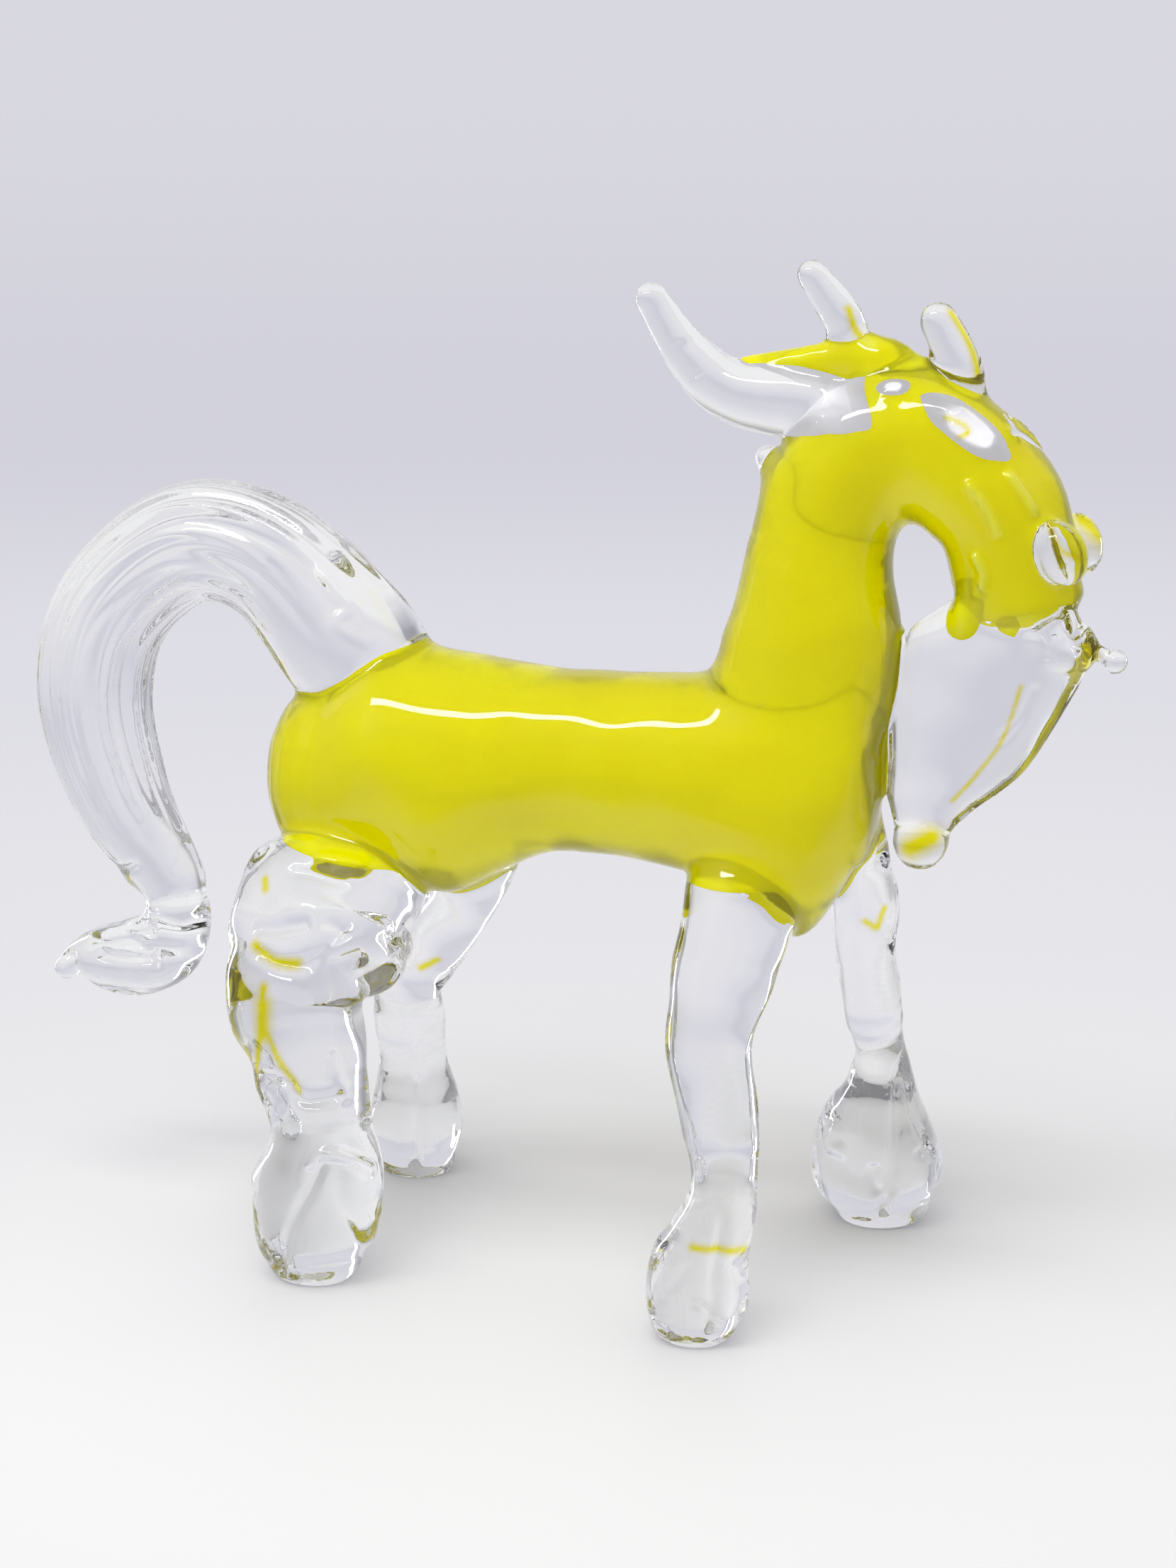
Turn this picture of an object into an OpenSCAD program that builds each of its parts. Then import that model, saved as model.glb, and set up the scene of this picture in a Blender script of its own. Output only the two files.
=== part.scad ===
// Horse figurine pulled from yellow and clear glass rod, standing free on four flat hooves.
// Millimetres. +X is forward, +Y is the animal's left, +Z is up. The origin lies on the table
// under the middle of the outline.

/* [Torso] */
// Length of the torso from the rump to the front of the chest
torso_length = 44.6; // [40:0.2:52]
// Height of the back above the table
back_height = 41; // [37:0.5:46]
// Height of the torso at the waist
waist_height = 12.6; // [10.5:0.1:15]
// Width of the torso at the waist
waist_width = 12; // [10:0.1:14]
// Depth of the haunch from the croup to the flank
haunch_depth = 17; // [14:0.2:19]
// Depth of the chest from the withers to the keel
chest_depth = 20; // [17:0.2:23]

/* [Neck and head] */
// Thickness of the neck where it leaves the chest
neck_base = 12; // [10:0.2:13.5]
// Thickness of the neck at the throat
neck_throat = 9.4; // [8:0.2:11]
// Height of the neck's top above the back
neck_rise = 16; // [13:0.5:19]
// Thickness of the head at the cheek
head_thickness = 9.2; // [8:0.2:10.5]
// How far the muzzle stands ahead of the neck
head_reach = 12; // [10.5:0.2:14]
// How far the mouth hangs below the neck's top
head_drop = 12; // [10.5:0.2:13.5]
// Height of the crest strand's peak above the neck's top
crest_height = 6.6; // [5.6:0.1:7.6]
// How far the crest strand reaches back from its peak
crest_length = 8.4; // [7:0.2:9.6]
// Thickness of the crest strand at its peak
crest_thickness = 3.6; // [3:0.1:4.2]

/* [Face] */
// Length of an almond eye
eye_length = 6.6; // [5:0.2:8]
// Height of an almond eye
eye_height = 2.4; // [1.8:0.1:3]
// Width of an oblong nostril bead
nostril_diameter = 3.2; // [2.8:0.1:4]
// Length of an oblong nostril bead
nostril_length = 4.2; // [3.4:0.1:5]
// Distance between the nostril beads' centres
nostril_spacing = 6; // [5:0.2:7]
// How far the drop on the lips stands ahead of the muzzle
lip_reach = 5.9; // [5:0.1:7]
// Thickness of the lips
lip_thickness = 3.2; // [2.6:0.1:4]
// Diameter of the drop on the lips
drop_diameter = 1.7; // [1.4:0.1:2.2]
// Diameter of the bead at the corner of the jaw
jaw_bead_diameter = 2.3; // [1.8:0.1:3]
// Diameter of the bead on the nape
nape_bead_diameter = 2; // [1.6:0.1:2.6]

/* [Mane] */
// Length of the mane lock from the crest to its tip
mane_length = 16.5; // [14:0.5:20]
// Thickness of the mane lock at its root
mane_thickness = 5; // [4:0.1:5.8]
// Length of the poll lock above the crest
poll_length = 5; // [3.5:0.2:7]
// Length of the forelock above the forehead
forelock_length = 4.4; // [3.6:0.2:6.4]
// Thickness of the poll lock and the forelock at their roots
lock_thickness = 2.8; // [2.2:0.1:3.4]

/* [Beard] */
// Width of the beard, seen from the side
beard_width = 12.4; // [10:0.2:13.4]
// Thickness of the beard across the animal
beard_thickness = 5; // [3.6:0.1:6.5]
// Length of the beard from the mouth to its tip
beard_length = 14; // [12:0.2:16]
// Diameter of the bead at the beard's tip
bead_diameter = 3.8; // [3:0.1:4.6]

/* [Tail] */
// How far the tail arches out behind the rump
tail_reach = 14.4; // [12:0.2:18]
// Height of the arch's middle line above the back
tail_rise = 7.4; // [6:0.2:10]
// How far the combed tail hangs below the back
tail_hang = 17.4; // [14:0.2:20]
// Thickness of the tail at its root, seen from the side
tail_root = 10.4; // [8.5:0.2:11.5]
// Thickness of the tail over the arch, seen from the side
tail_thickness = 8.6; // [7:0.2:9.6]
// Share of that thickness that the tail has across the animal
tail_flatness = 0.76; // [0.6:0.02:1]
// Number of combed ribs round the tail
tail_ribs = 14; // [8:1:16]
// Depth of the combed grooves
rib_depth = 0.5; // [0.2:0.05:0.7]
// How far the folded curl reaches back
curl_reach = 10.3; // [8:0.1:12]
// How far the curl hangs below the combed tail
curl_drop = 7.2; // [6:0.2:8.4]
// Thickness of the curl
curl_thickness = 5.4; // [4:0.1:6]

/* [Legs] */
// How far the right fore hoof stands out from the middle plane
right_fore_spread = 12.6; // [10:0.2:15]
// How far the left fore hoof stands out from the middle plane
left_fore_spread = 11.6; // [10:0.2:15]
// How far the right hind hoof stands out from the middle plane
right_hind_spread = 11.8; // [9:0.2:15]
// How far the left hind hoof stands out from the middle plane
left_hind_spread = 9.4; // [7.5:0.2:13]
// How far the right fore hoof stands behind the front of the chest
right_fore_setback = 8.7; // [5.5:0.1:12]
// How far the left fore hoof stands behind the front of the chest
left_fore_setback = 2.1; // [0:0.1:5]
// How far the right hind hoof stands ahead of the rump
right_hind_setback = 8.7; // [5.5:0.1:12]
// How far the left hind hoof stands ahead of the rump
left_hind_setback = 6.5; // [3.5:0.1:10]
// Thickness of the right fore leg at the shoulder
right_fore_thickness = 8.2; // [6.5:0.1:9.5]
// Thickness of the left fore leg at the shoulder
left_fore_thickness = 4.6; // [3.6:0.1:5.6]
// Thickness of the right hind thigh
right_thigh_thickness = 12; // [10:0.2:13]
// Thickness of the left hind thigh
left_thigh_thickness = 5; // [4:0.1:6]

/* [Hooves] */
// Diameter of the right fore hoof
right_fore_hoof_d = 7; // [6:0.1:8.2]
// Height of the right fore hoof
right_fore_hoof_h = 9; // [7.5:0.1:10.5]
// Diameter of the left fore hoof
left_fore_hoof_d = 9.4; // [8:0.1:10.5]
// Height of the left fore hoof
left_fore_hoof_h = 11.4; // [9.5:0.1:13]
// Diameter of the right hind hoof
right_hind_hoof_d = 9.2; // [8:0.1:10.4]
// Height of the right hind hoof
right_hind_hoof_h = 9.6; // [8:0.1:11]
// Diameter of the left hind hoof
left_hind_hoof_d = 7.4; // [6.4:0.1:8.6]
// Height of the left hind hoof
left_hind_hoof_h = 8.4; // [7:0.1:10]
// Depth of the cleft that is nipped into a hoof on each of two sides
cleft_depth = 0.6; // [0.2:0.05:1]

/* [Hidden] */

yellow_glass = "gold";
clear_glass = "lightsteelblue";

// Facets of the lofts
torso_sides = 20;
limb_sides = 14;
hoof_sides = 16;
bead_sides = 12;
rib_sides = 4;
span_steps = 2;
dome_rings = 3;
bead_facets = 14;

// Half of a whole size
function half(size) = size / 2;

// Places along the torso, measured from its middle
rump_x = -half(torso_length);
chest_x = half(torso_length);
waist_z = back_height - half(waist_height);
haunch_z = back_height - 0.453 * haunch_depth;
chest_z = back_height - 0.36 * chest_depth;

// Places on the neck and the head
neck_x = 0.388 * torso_length;
throat_x = neck_x + 0.07 * neck_rise;
neck_top = back_height + neck_rise;
muzzle_x = throat_x + 1.05 * head_reach;
mouth_z = neck_top - head_drop;
crest_z = neck_top + crest_height;

// Places of the tail
arch_z = back_height + tail_rise;
tail_out_x = rump_x - tail_reach;
tail_tip = [rump_x - 0.58 * tail_reach, 0, back_height - tail_hang];
curl_tip = tail_tip + [-0.924 * curl_reach, 0, -curl_drop];
curl_tip_size = 0.2 * curl_thickness;

// The outline's two ends, whose middle stands over the origin
outline_back = min(tail_out_x - half(tail_thickness + rib_depth), curl_tip[0] - curl_tip_size);
lip_drop_at = [muzzle_x + lip_reach, 0, mouth_z - 0.47 * lip_thickness];
outline_front = lip_drop_at[0] + half(drop_diameter);
middle_x = half(outline_back + outline_front);

// A point part of the way from one point to another
function along(a, b, share) = a + (b - a) * share;

// A station of a loft: its point, half its size in the bend's plane, half its size across and the
// share of the loft's relief that it has
function station(p, rise, across, share = 1) = [p[0], p[1], p[2], rise, across, share];

// Relief of a loft: how far each side of a ring stands out from a plain ellipse
function plain(sides) = [for (k = [0 : sides - 1]) 0];
function combed(ribs, depth) =
    let (sides = ribs * rib_sides)
    [for (k = [0 : sides - 1]) depth * cos(360 * ribs * k / sides)];

// Relief with one groove on each of two opposite sides, the first at a turn from the bend's plane
groove_sharpness = 8;
function grooved(sides, depth, turn) =
    [for (k = [0 : sides - 1]) -depth * pow(cos(360 * k / sides - turn), groove_sharpness)];

// The value between b and c on a smooth curve through a, b, c and d
function smooth(a, b, c, d, t) = half(
    2 * b + (c - a) * t + (2 * a - 5 * b + 4 * c - d) * pow(t, 2) + (3 * b - a - 3 * c + d) * pow(t, 3)
);

// Stations and in-between stations of a loft
function curve(s) = [
    for (i = [0 : len(s) - 2])
        for (k = [0 : span_steps - 1])
            smooth(s[max(i - 1, 0)], s[i], s[i + 1], s[min(i + 2, len(s) - 1)], k / span_steps),
    s[len(s) - 1]
];

function spot(q) = [q[0], q[1], q[2]];
function unit(v) = v / norm(v);
function heading(path, i) =
    unit(spot(path[min(i + 1, len(path) - 1)]) - spot(path[max(i - 1, 0)]));

// A ring of a station at a point and round a heading, at a share of the station's size
function ring(q, p, t, size, relief) =
    let (b = unit([0, 1, 0] - t * t[1]), n = cross(b, t))
    [for (k = [0 : len(relief) - 1])
        let (a = 360 * k / len(relief), out = q[5] * relief[k])
        p + (n * (q[3] + out) * cos(a) + b * (q[4] + out) * sin(a)) * size];

// Rings of a dome over a path's end, from its rim to its top
function dome(q, t, way, height, relief) = [
    for (j = [1 : dome_rings])
        let (a = 90 * j / (dome_rings + 1))
        ring(q, spot(q) + t * way * height * sin(a), t, cos(a), relief)
];

function backwards(list) = [for (i = [len(list) - 1 : -1 : 0]) list[i]];

// A closed body through its stations, with a dome over each end and its rings square to the path
// or, where facing is given, to one direction
module loft(stations, relief = plain(limb_sides), round_start = 1, round_end = 1, facing = undef) {
    path = curve(stations);
    last = len(path) - 1;
    sides = len(relief);
    headings = [for (i = [0 : last]) is_undef(facing) ? heading(path, i) : facing];
    first_t = headings[0];
    last_t = headings[last];
    start_h = round_start * min(path[0][3], path[0][4]);
    end_h = round_end * min(path[last][3], path[last][4]);
    rings = concat(
        backwards(dome(path[0], first_t, -1, start_h, relief)),
        [for (i = [0 : last]) ring(path[i], spot(path[i]), headings[i], 1, relief)],
        dome(path[last], last_t, 1, end_h, relief)
    );
    points = concat(
        [for (r = rings) each r],
        [spot(path[0]) - first_t * start_h, spot(path[last]) + last_t * end_h]
    );
    start_pole = len(rings) * sides;
    end_pole = start_pole + 1;
    end_rim = (len(rings) - 1) * sides;
    faces = concat(
        [for (i = [0 : len(rings) - 2], k = [0 : sides - 1])
            let (a = i * sides + k, b = i * sides + (k + 1) % sides)
            each [[a, b + sides, b], [a, a + sides, b + sides]]],
        [for (k = [0 : sides - 1]) [start_pole, k, (k + 1) % sides]],
        [for (k = [0 : sides - 1]) [end_pole, end_rim + (k + 1) % sides, end_rim + k]]
    );
    polyhedron(points, faces);
}

// Torso: a rod swollen at the haunch and the chest
module torso_form() {
    waist = half(waist_height);
    wide = half(waist_width);
    deep = half(chest_depth);
    loft([
        station([rump_x + 0.125 * torso_length, 0, waist_z - 0.36 * waist], 1.14 * waist, 0.9 * wide),
        station([rump_x + 0.22 * torso_length, 0, waist_z - 0.1 * waist], 1.27 * waist, 1.12 * wide),
        station([rump_x + 0.323 * torso_length, 0, haunch_z], half(haunch_depth), 1.16 * wide),
        station([0, 0, waist_z], waist, wide),
        station([half(chest_x), 0, waist_z - 0.05 * waist], 1.13 * waist, wide),
        station([chest_x - 0.121 * torso_length, 0, chest_z], deep, 0.97 * wide),
        station([chest_x - 0.04 * torso_length, 0, chest_z + 0.28 * deep], 0.78 * deep, 0.76 * wide)
    ], plain(torso_sides), round_end = 0.4, facing = [1, 0, 0]);
}

// Neck: a column that rises from the chest to the nape
module neck_form() {
    base = half(neck_base);
    throat = half(neck_throat);
    middle = [along(neck_x, throat_x, 0.3), 0, along(back_height, neck_top, 0.48)];
    loft([
        station([neck_x - 0.37 * base, 0, waist_z + 0.08 * waist_height], base, 0.8 * base),
        station([neck_x, 0, along(back_height, neck_top, 0.125)], base, 0.83 * base),
        station(middle, 1.04 * throat, 0.96 * throat),
        station([throat_x, 0, along(back_height, neck_top, 0.84)], throat, 0.915 * throat)
    ], round_end = 0.6);
}

// Head: the neck's rod bent over and down to the mouth
head_root = [throat_x + 0.28 * head_reach, 0, neck_top - 0.05 * head_drop];
brow = [throat_x + 0.45 * head_reach, 0, neck_top];
cheek = [along(throat_x, muzzle_x, 0.84), 0, along(neck_top, mouth_z, 0.32)];
muzzle = [muzzle_x - 0.06 * head_reach, 0, along(neck_top, mouth_z, 0.66)];
module head_form() {
    deep = half(head_thickness);
    loft([
        station(head_root, 0.96 * deep, 0.85 * deep),
        station(brow, 1.02 * deep, 0.89 * deep),
        station(cheek, 0.935 * deep, 0.87 * deep),
        station(muzzle, 0.87 * deep, 0.8 * deep),
        station([muzzle_x, 0, along(neck_top, mouth_z, 0.867)], 0.85 * deep, 0.72 * deep)
    ], round_start = 0.4, round_end = 0.45);
}

// Crest: a thin strand of the head's glass drawn back over the nape
crest_peak = [throat_x + 0.217 * head_reach, 0, crest_z - half(crest_thickness)];
module crest_form() {
    thick = half(crest_thickness);
    loft([
        station([brow[0] + 0.56 * thick, 0, neck_top + 0.283 * head_thickness], 0.94 * thick, 0.94 * thick),
        station(crest_peak, thick, 0.94 * thick),
        station([crest_peak[0] - 0.476 * crest_length, 0, crest_z - 0.89 * thick], 0.5 * thick, 0.72 * thick),
        station([crest_peak[0] - crest_length, 0, crest_z - 1.06 * thick], 0.28 * thick, 0.39 * thick)
    ]);
}

// Eye: an almond of glass set slantwise into the cheek
module eye_form(side) {
    reach = half(eye_length);
    tall = half(eye_height);
    temple = along(brow, cheek, 0.72);
    middle = temple + [0, side * 0.29 * head_thickness, 0.39 * head_thickness];
    slant = unit(cheek - brow);
    loft([
        station(middle - slant * reach, 0.25 * tall, 0.25 * tall),
        station(middle - slant * half(reach), 0.8 * tall, 0.83 * tall),
        station(middle + slant * half(reach), 0.8 * tall, 0.83 * tall),
        station(middle + slant * reach, 0.25 * tall, 0.25 * tall)
    ], plain(bead_sides));
}

// Nostril: an oblong bead on the side of the muzzle, leaning with the profile
nostril_lean = -22;
module nostril_form(side) {
    out = side * half(nostril_spacing);
    translate([muzzle_x + 0.283 * head_thickness, out, along(neck_top, mouth_z, 0.53)])
        rotate([0, nostril_lean, 0])
            resize([nostril_diameter, nostril_diameter, nostril_length])
                sphere(d = nostril_diameter, $fn = bead_facets);
}

// Lips: a short gather under the front of the mouth
lip_front = [muzzle_x + 0.61 * lip_reach, 0, mouth_z - 0.06 * lip_thickness];
module lips_form() {
    thick = half(lip_thickness);
    loft([
        station([muzzle_x + 0.07 * lip_reach, 0, mouth_z + 0.56 * thick], thick, 1.375 * thick),
        station([muzzle_x + 0.37 * lip_reach, 0, mouth_z + 0.25 * thick], thick, 1.25 * thick),
        station(lip_front, 0.69 * thick, 0.81 * thick)
    ], plain(bead_sides));
}

// Drop of glass pulled off the lips
module lip_drop_form() {
    drop = half(drop_diameter);
    thread = 0.25 * lip_thickness;
    loft([
        station(lip_front, thread, thread),
        station(along(lip_front, lip_drop_at, 0.65), 0.65 * drop, 0.65 * drop),
        station(lip_drop_at, drop, drop)
    ], plain(bead_sides));
}

// Bead of the head's glass that ran down the near side of the beard from the corner of the jaw
module jaw_bead_form() {
    translate([muzzle_x - 0.38 * head_thickness, -0.42 * beard_thickness, mouth_z + 0.05 * jaw_bead_diameter])
        sphere(d = jaw_bead_diameter, $fn = bead_facets);
}

// Bead left behind the neck, under the mane lock
module nape_bead_form() {
    translate([throat_x - 0.468 * neck_throat, 0, neck_top - 0.7 * nape_bead_diameter])
        sphere(d = nape_bead_diameter, $fn = bead_facets);
}

// Mane lock: a long spike laid over the nape and pulled up at its end
module mane_form() {
    thick = half(mane_thickness);
    root = [throat_x + 0.217 * head_reach, 0, neck_top + 0.48 * thick];
    tip = root + [-0.9 * mane_length, 0, 0.45 * mane_length];
    loft([
        station(root, 0.84 * thick, 0.76 * thick),
        station([along(root[0], tip[0], 0.3), 0, along(root[2], tip[2], 0.13)], thick, 0.84 * thick),
        station([along(root[0], tip[0], 0.62), 0, along(root[2], tip[2], 0.22)], 0.84 * thick, 0.72 * thick),
        station([along(root[0], tip[0], 0.84), 0, along(root[2], tip[2], 0.54)], 0.64 * thick, 0.6 * thick),
        station(tip, 0.44 * thick, 0.44 * thick)
    ]);
}

// Short spike that leans back on the way up
module spike_form(foot, rise, lean) {
    thick = half(lock_thickness);
    loft([
        station(foot, thick, thick),
        station(foot + [-0.35 * lean, 0, half(rise)], 0.92 * thick, 0.92 * thick),
        station(foot + [-lean, 0, rise], 0.72 * thick, 0.72 * thick)
    ], plain(bead_sides));
}
module poll_form() {
    sunk = half(lock_thickness);
    spike_form([crest_peak[0] - 0.43 * lock_thickness, 0, crest_z - sunk], poll_length, 0.6 * poll_length);
}
module forelock_form() {
    sunk = 0.71 * lock_thickness;
    foot = along(brow, cheek, 0.6) + [0, 0, 0.61 * head_thickness - sunk];
    spike_form(foot, forelock_length + sunk, 0.45 * forelock_length);
}

// Beard: a flattened gather that hangs from the mouth to the front of the chest
beard_tip = [chest_x + 0.213 * beard_width, 0, mouth_z - beard_length];
module beard_form() {
    wide = half(beard_width);
    thick = half(beard_thickness);
    end = half(bead_diameter);
    middle = [along(muzzle_x, beard_tip[0], 0.46), 0, along(mouth_z, beard_tip[2], 0.36)];
    low = [along(muzzle_x, beard_tip[0], 0.67), 0, along(mouth_z, beard_tip[2], 0.64)];
    lowest = [along(muzzle_x, beard_tip[0], 0.92), 0, along(mouth_z, beard_tip[2], 0.84)];
    loft([
        station([muzzle_x - 0.18 * wide, 0, along(mouth_z, beard_tip[2], -0.1)], 0.68 * wide, thick),
        station([muzzle_x - 0.26 * wide, 0, along(mouth_z, beard_tip[2], 0.06)], wide, thick),
        station(middle, 0.91 * wide, 0.88 * thick),
        station(low, 0.71 * wide, 0.72 * thick),
        station(lowest, 0.46 * wide, 0.6 * thick),
        station(beard_tip, 0.74 * end, 0.63 * end)
    ], round_start = 0.3, round_end = 0.5, facing = [0, 0, -1]);
}
module beard_bead_form() {
    translate(beard_tip)
        sphere(d = bead_diameter, $fn = bead_facets);
}

// Tail: a flattened rod, smooth at its root and combed from the arch on, that hangs down behind
module tail_form() {
    root = half(tail_root);
    thick = half(tail_thickness);
    flat = tail_flatness * thick;
    flat_root = tail_flatness * root;
    loft([
        station([rump_x + 1.8 * root, 0, back_height - 0.65 * root], 0.885 * root, 0.85 * flat_root, 0),
        station([rump_x + 1.23 * root, 0, along(back_height, arch_z, 0.108)], root, flat_root, 0),
        station([rump_x + 0.115 * root, 0, along(back_height, arch_z, 0.86)], 1.047 * thick, flat, 0.8),
        station([rump_x - 0.42 * tail_reach, 0, arch_z], 0.977 * thick, flat),
        station([rump_x - 0.86 * tail_reach, 0, along(back_height, arch_z, 0.36)], thick, flat),
        station([tail_out_x, 0, back_height - 0.22 * tail_hang], thick, flat),
        station([rump_x - 0.87 * tail_reach, 0, back_height - 0.64 * tail_hang], 0.86 * thick, 0.907 * flat),
        station(tail_tip, 0.6 * thick, 0.7 * flat)
    ], combed(tail_ribs, half(rib_depth)));
}

// Curl: the tail's end folded back on itself and drawn to a point
module curl_form() {
    thick = half(curl_thickness);
    loft([
        station(tail_tip + [-0.04 * curl_reach, 0, 0.14 * curl_drop], 0.91 * thick, 0.86 * thick),
        station(tail_tip + [0.1 * curl_reach, 0, -0.36 * curl_drop], 0.955 * thick, 0.91 * thick),
        station(tail_tip + [0.02 * curl_reach, 0, -0.78 * curl_drop], thick, 0.955 * thick),
        station(tail_tip + [-0.24 * curl_reach, 0, -0.944 * curl_drop], 1.09 * thick, thick),
        station(tail_tip + [-0.56 * curl_reach, 0, -0.86 * curl_drop], thick, 0.91 * thick),
        station(tail_tip + [-0.8 * curl_reach, 0, -0.93 * curl_drop], 0.62 * thick, 0.62 * thick),
        station(curl_tip, curl_tip_size, curl_tip_size)
    ]);
}

// Middles of the hooves on the table
right_fore_foot = [chest_x - right_fore_setback, -right_fore_spread, 0];
left_fore_foot = [chest_x - left_fore_setback, left_fore_spread, 0];
right_hind_foot = [rump_x + right_hind_setback, -right_hind_spread, 0];
left_hind_foot = [rump_x + left_hind_setback, left_hind_spread, 0];

// Points where the legs leave the torso
hip_y = 0.15 * waist_width;
right_fore_hip = [chest_x - 0.2 * torso_length, -hip_y, waist_z - 0.365 * waist_height];
left_fore_hip = [chest_x - 0.054 * torso_length, hip_y, waist_z - 0.206 * waist_height];
right_hind_hip = [rump_x + 0.18 * torso_length, -1.55 * hip_y, waist_z - 0.565 * haunch_depth];
left_hind_hip = [rump_x + 0.359 * torso_length, hip_y, waist_z - 0.388 * haunch_depth];

// Points where the legs reach their hooves
right_fore_pastern = right_fore_foot
    + [0.28 * right_fore_hoof_d, 0.07 * right_fore_hoof_d, right_fore_hoof_h];
left_fore_pastern = left_fore_foot + [0.03 * left_fore_hoof_d, -0.13 * left_fore_hoof_d, left_fore_hoof_h];
right_hind_pastern = right_hind_foot + [0.11 * right_hind_hoof_d, 0, right_hind_hoof_h];
left_hind_pastern = left_hind_foot + [0.08 * left_hind_hoof_d, -0.08 * left_hind_hoof_d, left_hind_hoof_h];

// Half the thickness of the legs above their hooves
right_fore_neck = 0.3 * right_fore_thickness;
left_fore_neck = 0.4 * left_fore_thickness;
right_hind_neck = 0.31 * right_thigh_thickness;
left_hind_neck = 0.56 * left_thigh_thickness;

// Turns of the hooves' clefts round the leg, from the line of travel
cleft_turn = 72;
right_hind_cleft_turn = 90;

// Hoof: a drop of glass under a pastern, nipped into two lobes and pressed flat on the table
module hoof_form(foot, pastern, diameter, height, neck, turn) {
    size = half(diameter);
    below = 2 * diameter;
    upper = along(foot, pastern, 0.74) - [0.05 * diameter, 0, 0];
    upper_size = 0.68 * size + 0.24 * neck;
    difference() {
        loft([
            station(pastern, neck, neck, 0),
            station(upper, upper_size, upper_size, 0.5),
            station(foot + [0, 0, 0.48 * height], size, 0.95 * size),
            station(foot + [0, 0, 0.27 * height], 0.95 * size, 0.9 * size),
            station(foot + [0, 0, 0.13 * height], 0.8 * size, 0.78 * size)
        ], grooved(hoof_sides, cleft_depth, turn), round_start = 0.4, round_end = 0.7);
        translate(foot - [half(below), half(below), below])
            cube(below);
    }
}
module right_fore_hoof_form() {
    hoof_form(
        right_fore_foot, right_fore_pastern, right_fore_hoof_d, right_fore_hoof_h, right_fore_neck,
        cleft_turn
    );
}
module left_fore_hoof_form() {
    hoof_form(
        left_fore_foot, left_fore_pastern, left_fore_hoof_d, left_fore_hoof_h, left_fore_neck,
        cleft_turn
    );
}
module right_hind_hoof_form() {
    hoof_form(
        right_hind_foot, right_hind_pastern, right_hind_hoof_d, right_hind_hoof_h, right_hind_neck,
        right_hind_cleft_turn
    );
}
module left_hind_hoof_form() {
    hoof_form(
        left_hind_foot, left_hind_pastern, left_hind_hoof_d, left_hind_hoof_h, left_hind_neck,
        cleft_turn
    );
}

// A leg's lower end, slimmer than its hoof's top and sunk into it
function sunk_end(pastern, neck) = station(pastern - [0, 0, half(neck)], 0.8 * neck, 0.8 * neck);

// Fore leg: a tapering rod whose knee is set back by a share of its thickness
module fore_leg_form(hip, pastern, thickness, neck, set_back) {
    thick = half(thickness);
    knee = along(hip, pastern, 0.56) - [set_back * thickness, 0, 0];
    cannon = along(hip, pastern, 0.81) - [0.3 * set_back * thickness, 0, 0];
    knee_size = along(thick, neck, 0.61);
    loft([
        station(hip, 0.88 * thick, 0.7 * thick),
        station(along(hip, pastern, 0.31), 1.03 * thick, 0.92 * thick),
        station(knee, knee_size, knee_size),
        station(cannon, neck, neck),
        sunk_end(pastern, neck)
    ]);
}
module right_fore_leg_form() {
    fore_leg_form(right_fore_hip, right_fore_pastern, right_fore_thickness, right_fore_neck, 0.17);
}
module left_fore_leg_form() {
    fore_leg_form(left_fore_hip, left_fore_pastern, left_fore_thickness, left_fore_neck, 0.07);
}

// Right hind leg: a thigh that hangs like a cap over a stout shank, with a lobe behind and a knob above
right_hock = [
    right_hind_hip[0] - 0.16 * right_thigh_thickness,
    along(right_hind_hip[1], right_hind_foot[1], 0.66),
    along(right_hind_hip[2], right_hind_pastern[2], 0.5)
];
module right_hind_thigh_form() {
    thick = half(right_thigh_thickness);
    bulge = along(right_hind_hip, right_hock, 0.3) - [0.1 * thick, 0, 0];
    rim = along(right_hind_hip, right_hock, 0.7);
    loft([
        station(right_hind_hip, 0.9 * thick, 0.73 * thick),
        station(bulge, 1.12 * thick, 0.87 * thick),
        station(rim, 1.08 * thick, 0.8 * thick)
    ], round_start = 0.8, round_end = 0.5);
    translate(rim - [0.9 * thick, 0, -0.2 * thick])
        sphere(r = 0.42 * thick, $fn = bead_facets);
    knob_form(right_hind_hip + [-0.1 * thick, -0.6 * thick, 0.36 * thick], 0.36 * thick, 0.2 * thick);
}

// Knob: a roll of glass left where the thigh meets the haunch
module knob_form(middle, reach, thick) {
    loft([
        station(middle - [reach, 0, 0], thick, thick),
        station(middle + [reach, 0, 0], thick, thick)
    ], plain(bead_sides));
}
module right_hind_shank_form() {
    start = 0.4 * right_thigh_thickness;
    middle = along(start, right_hind_neck, 0.7);
    loft([
        station(right_hock, start, 0.85 * start),
        station(along(right_hock, right_hind_pastern, 0.55), middle, middle),
        sunk_end(right_hind_pastern, right_hind_neck)
    ]);
}

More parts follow.
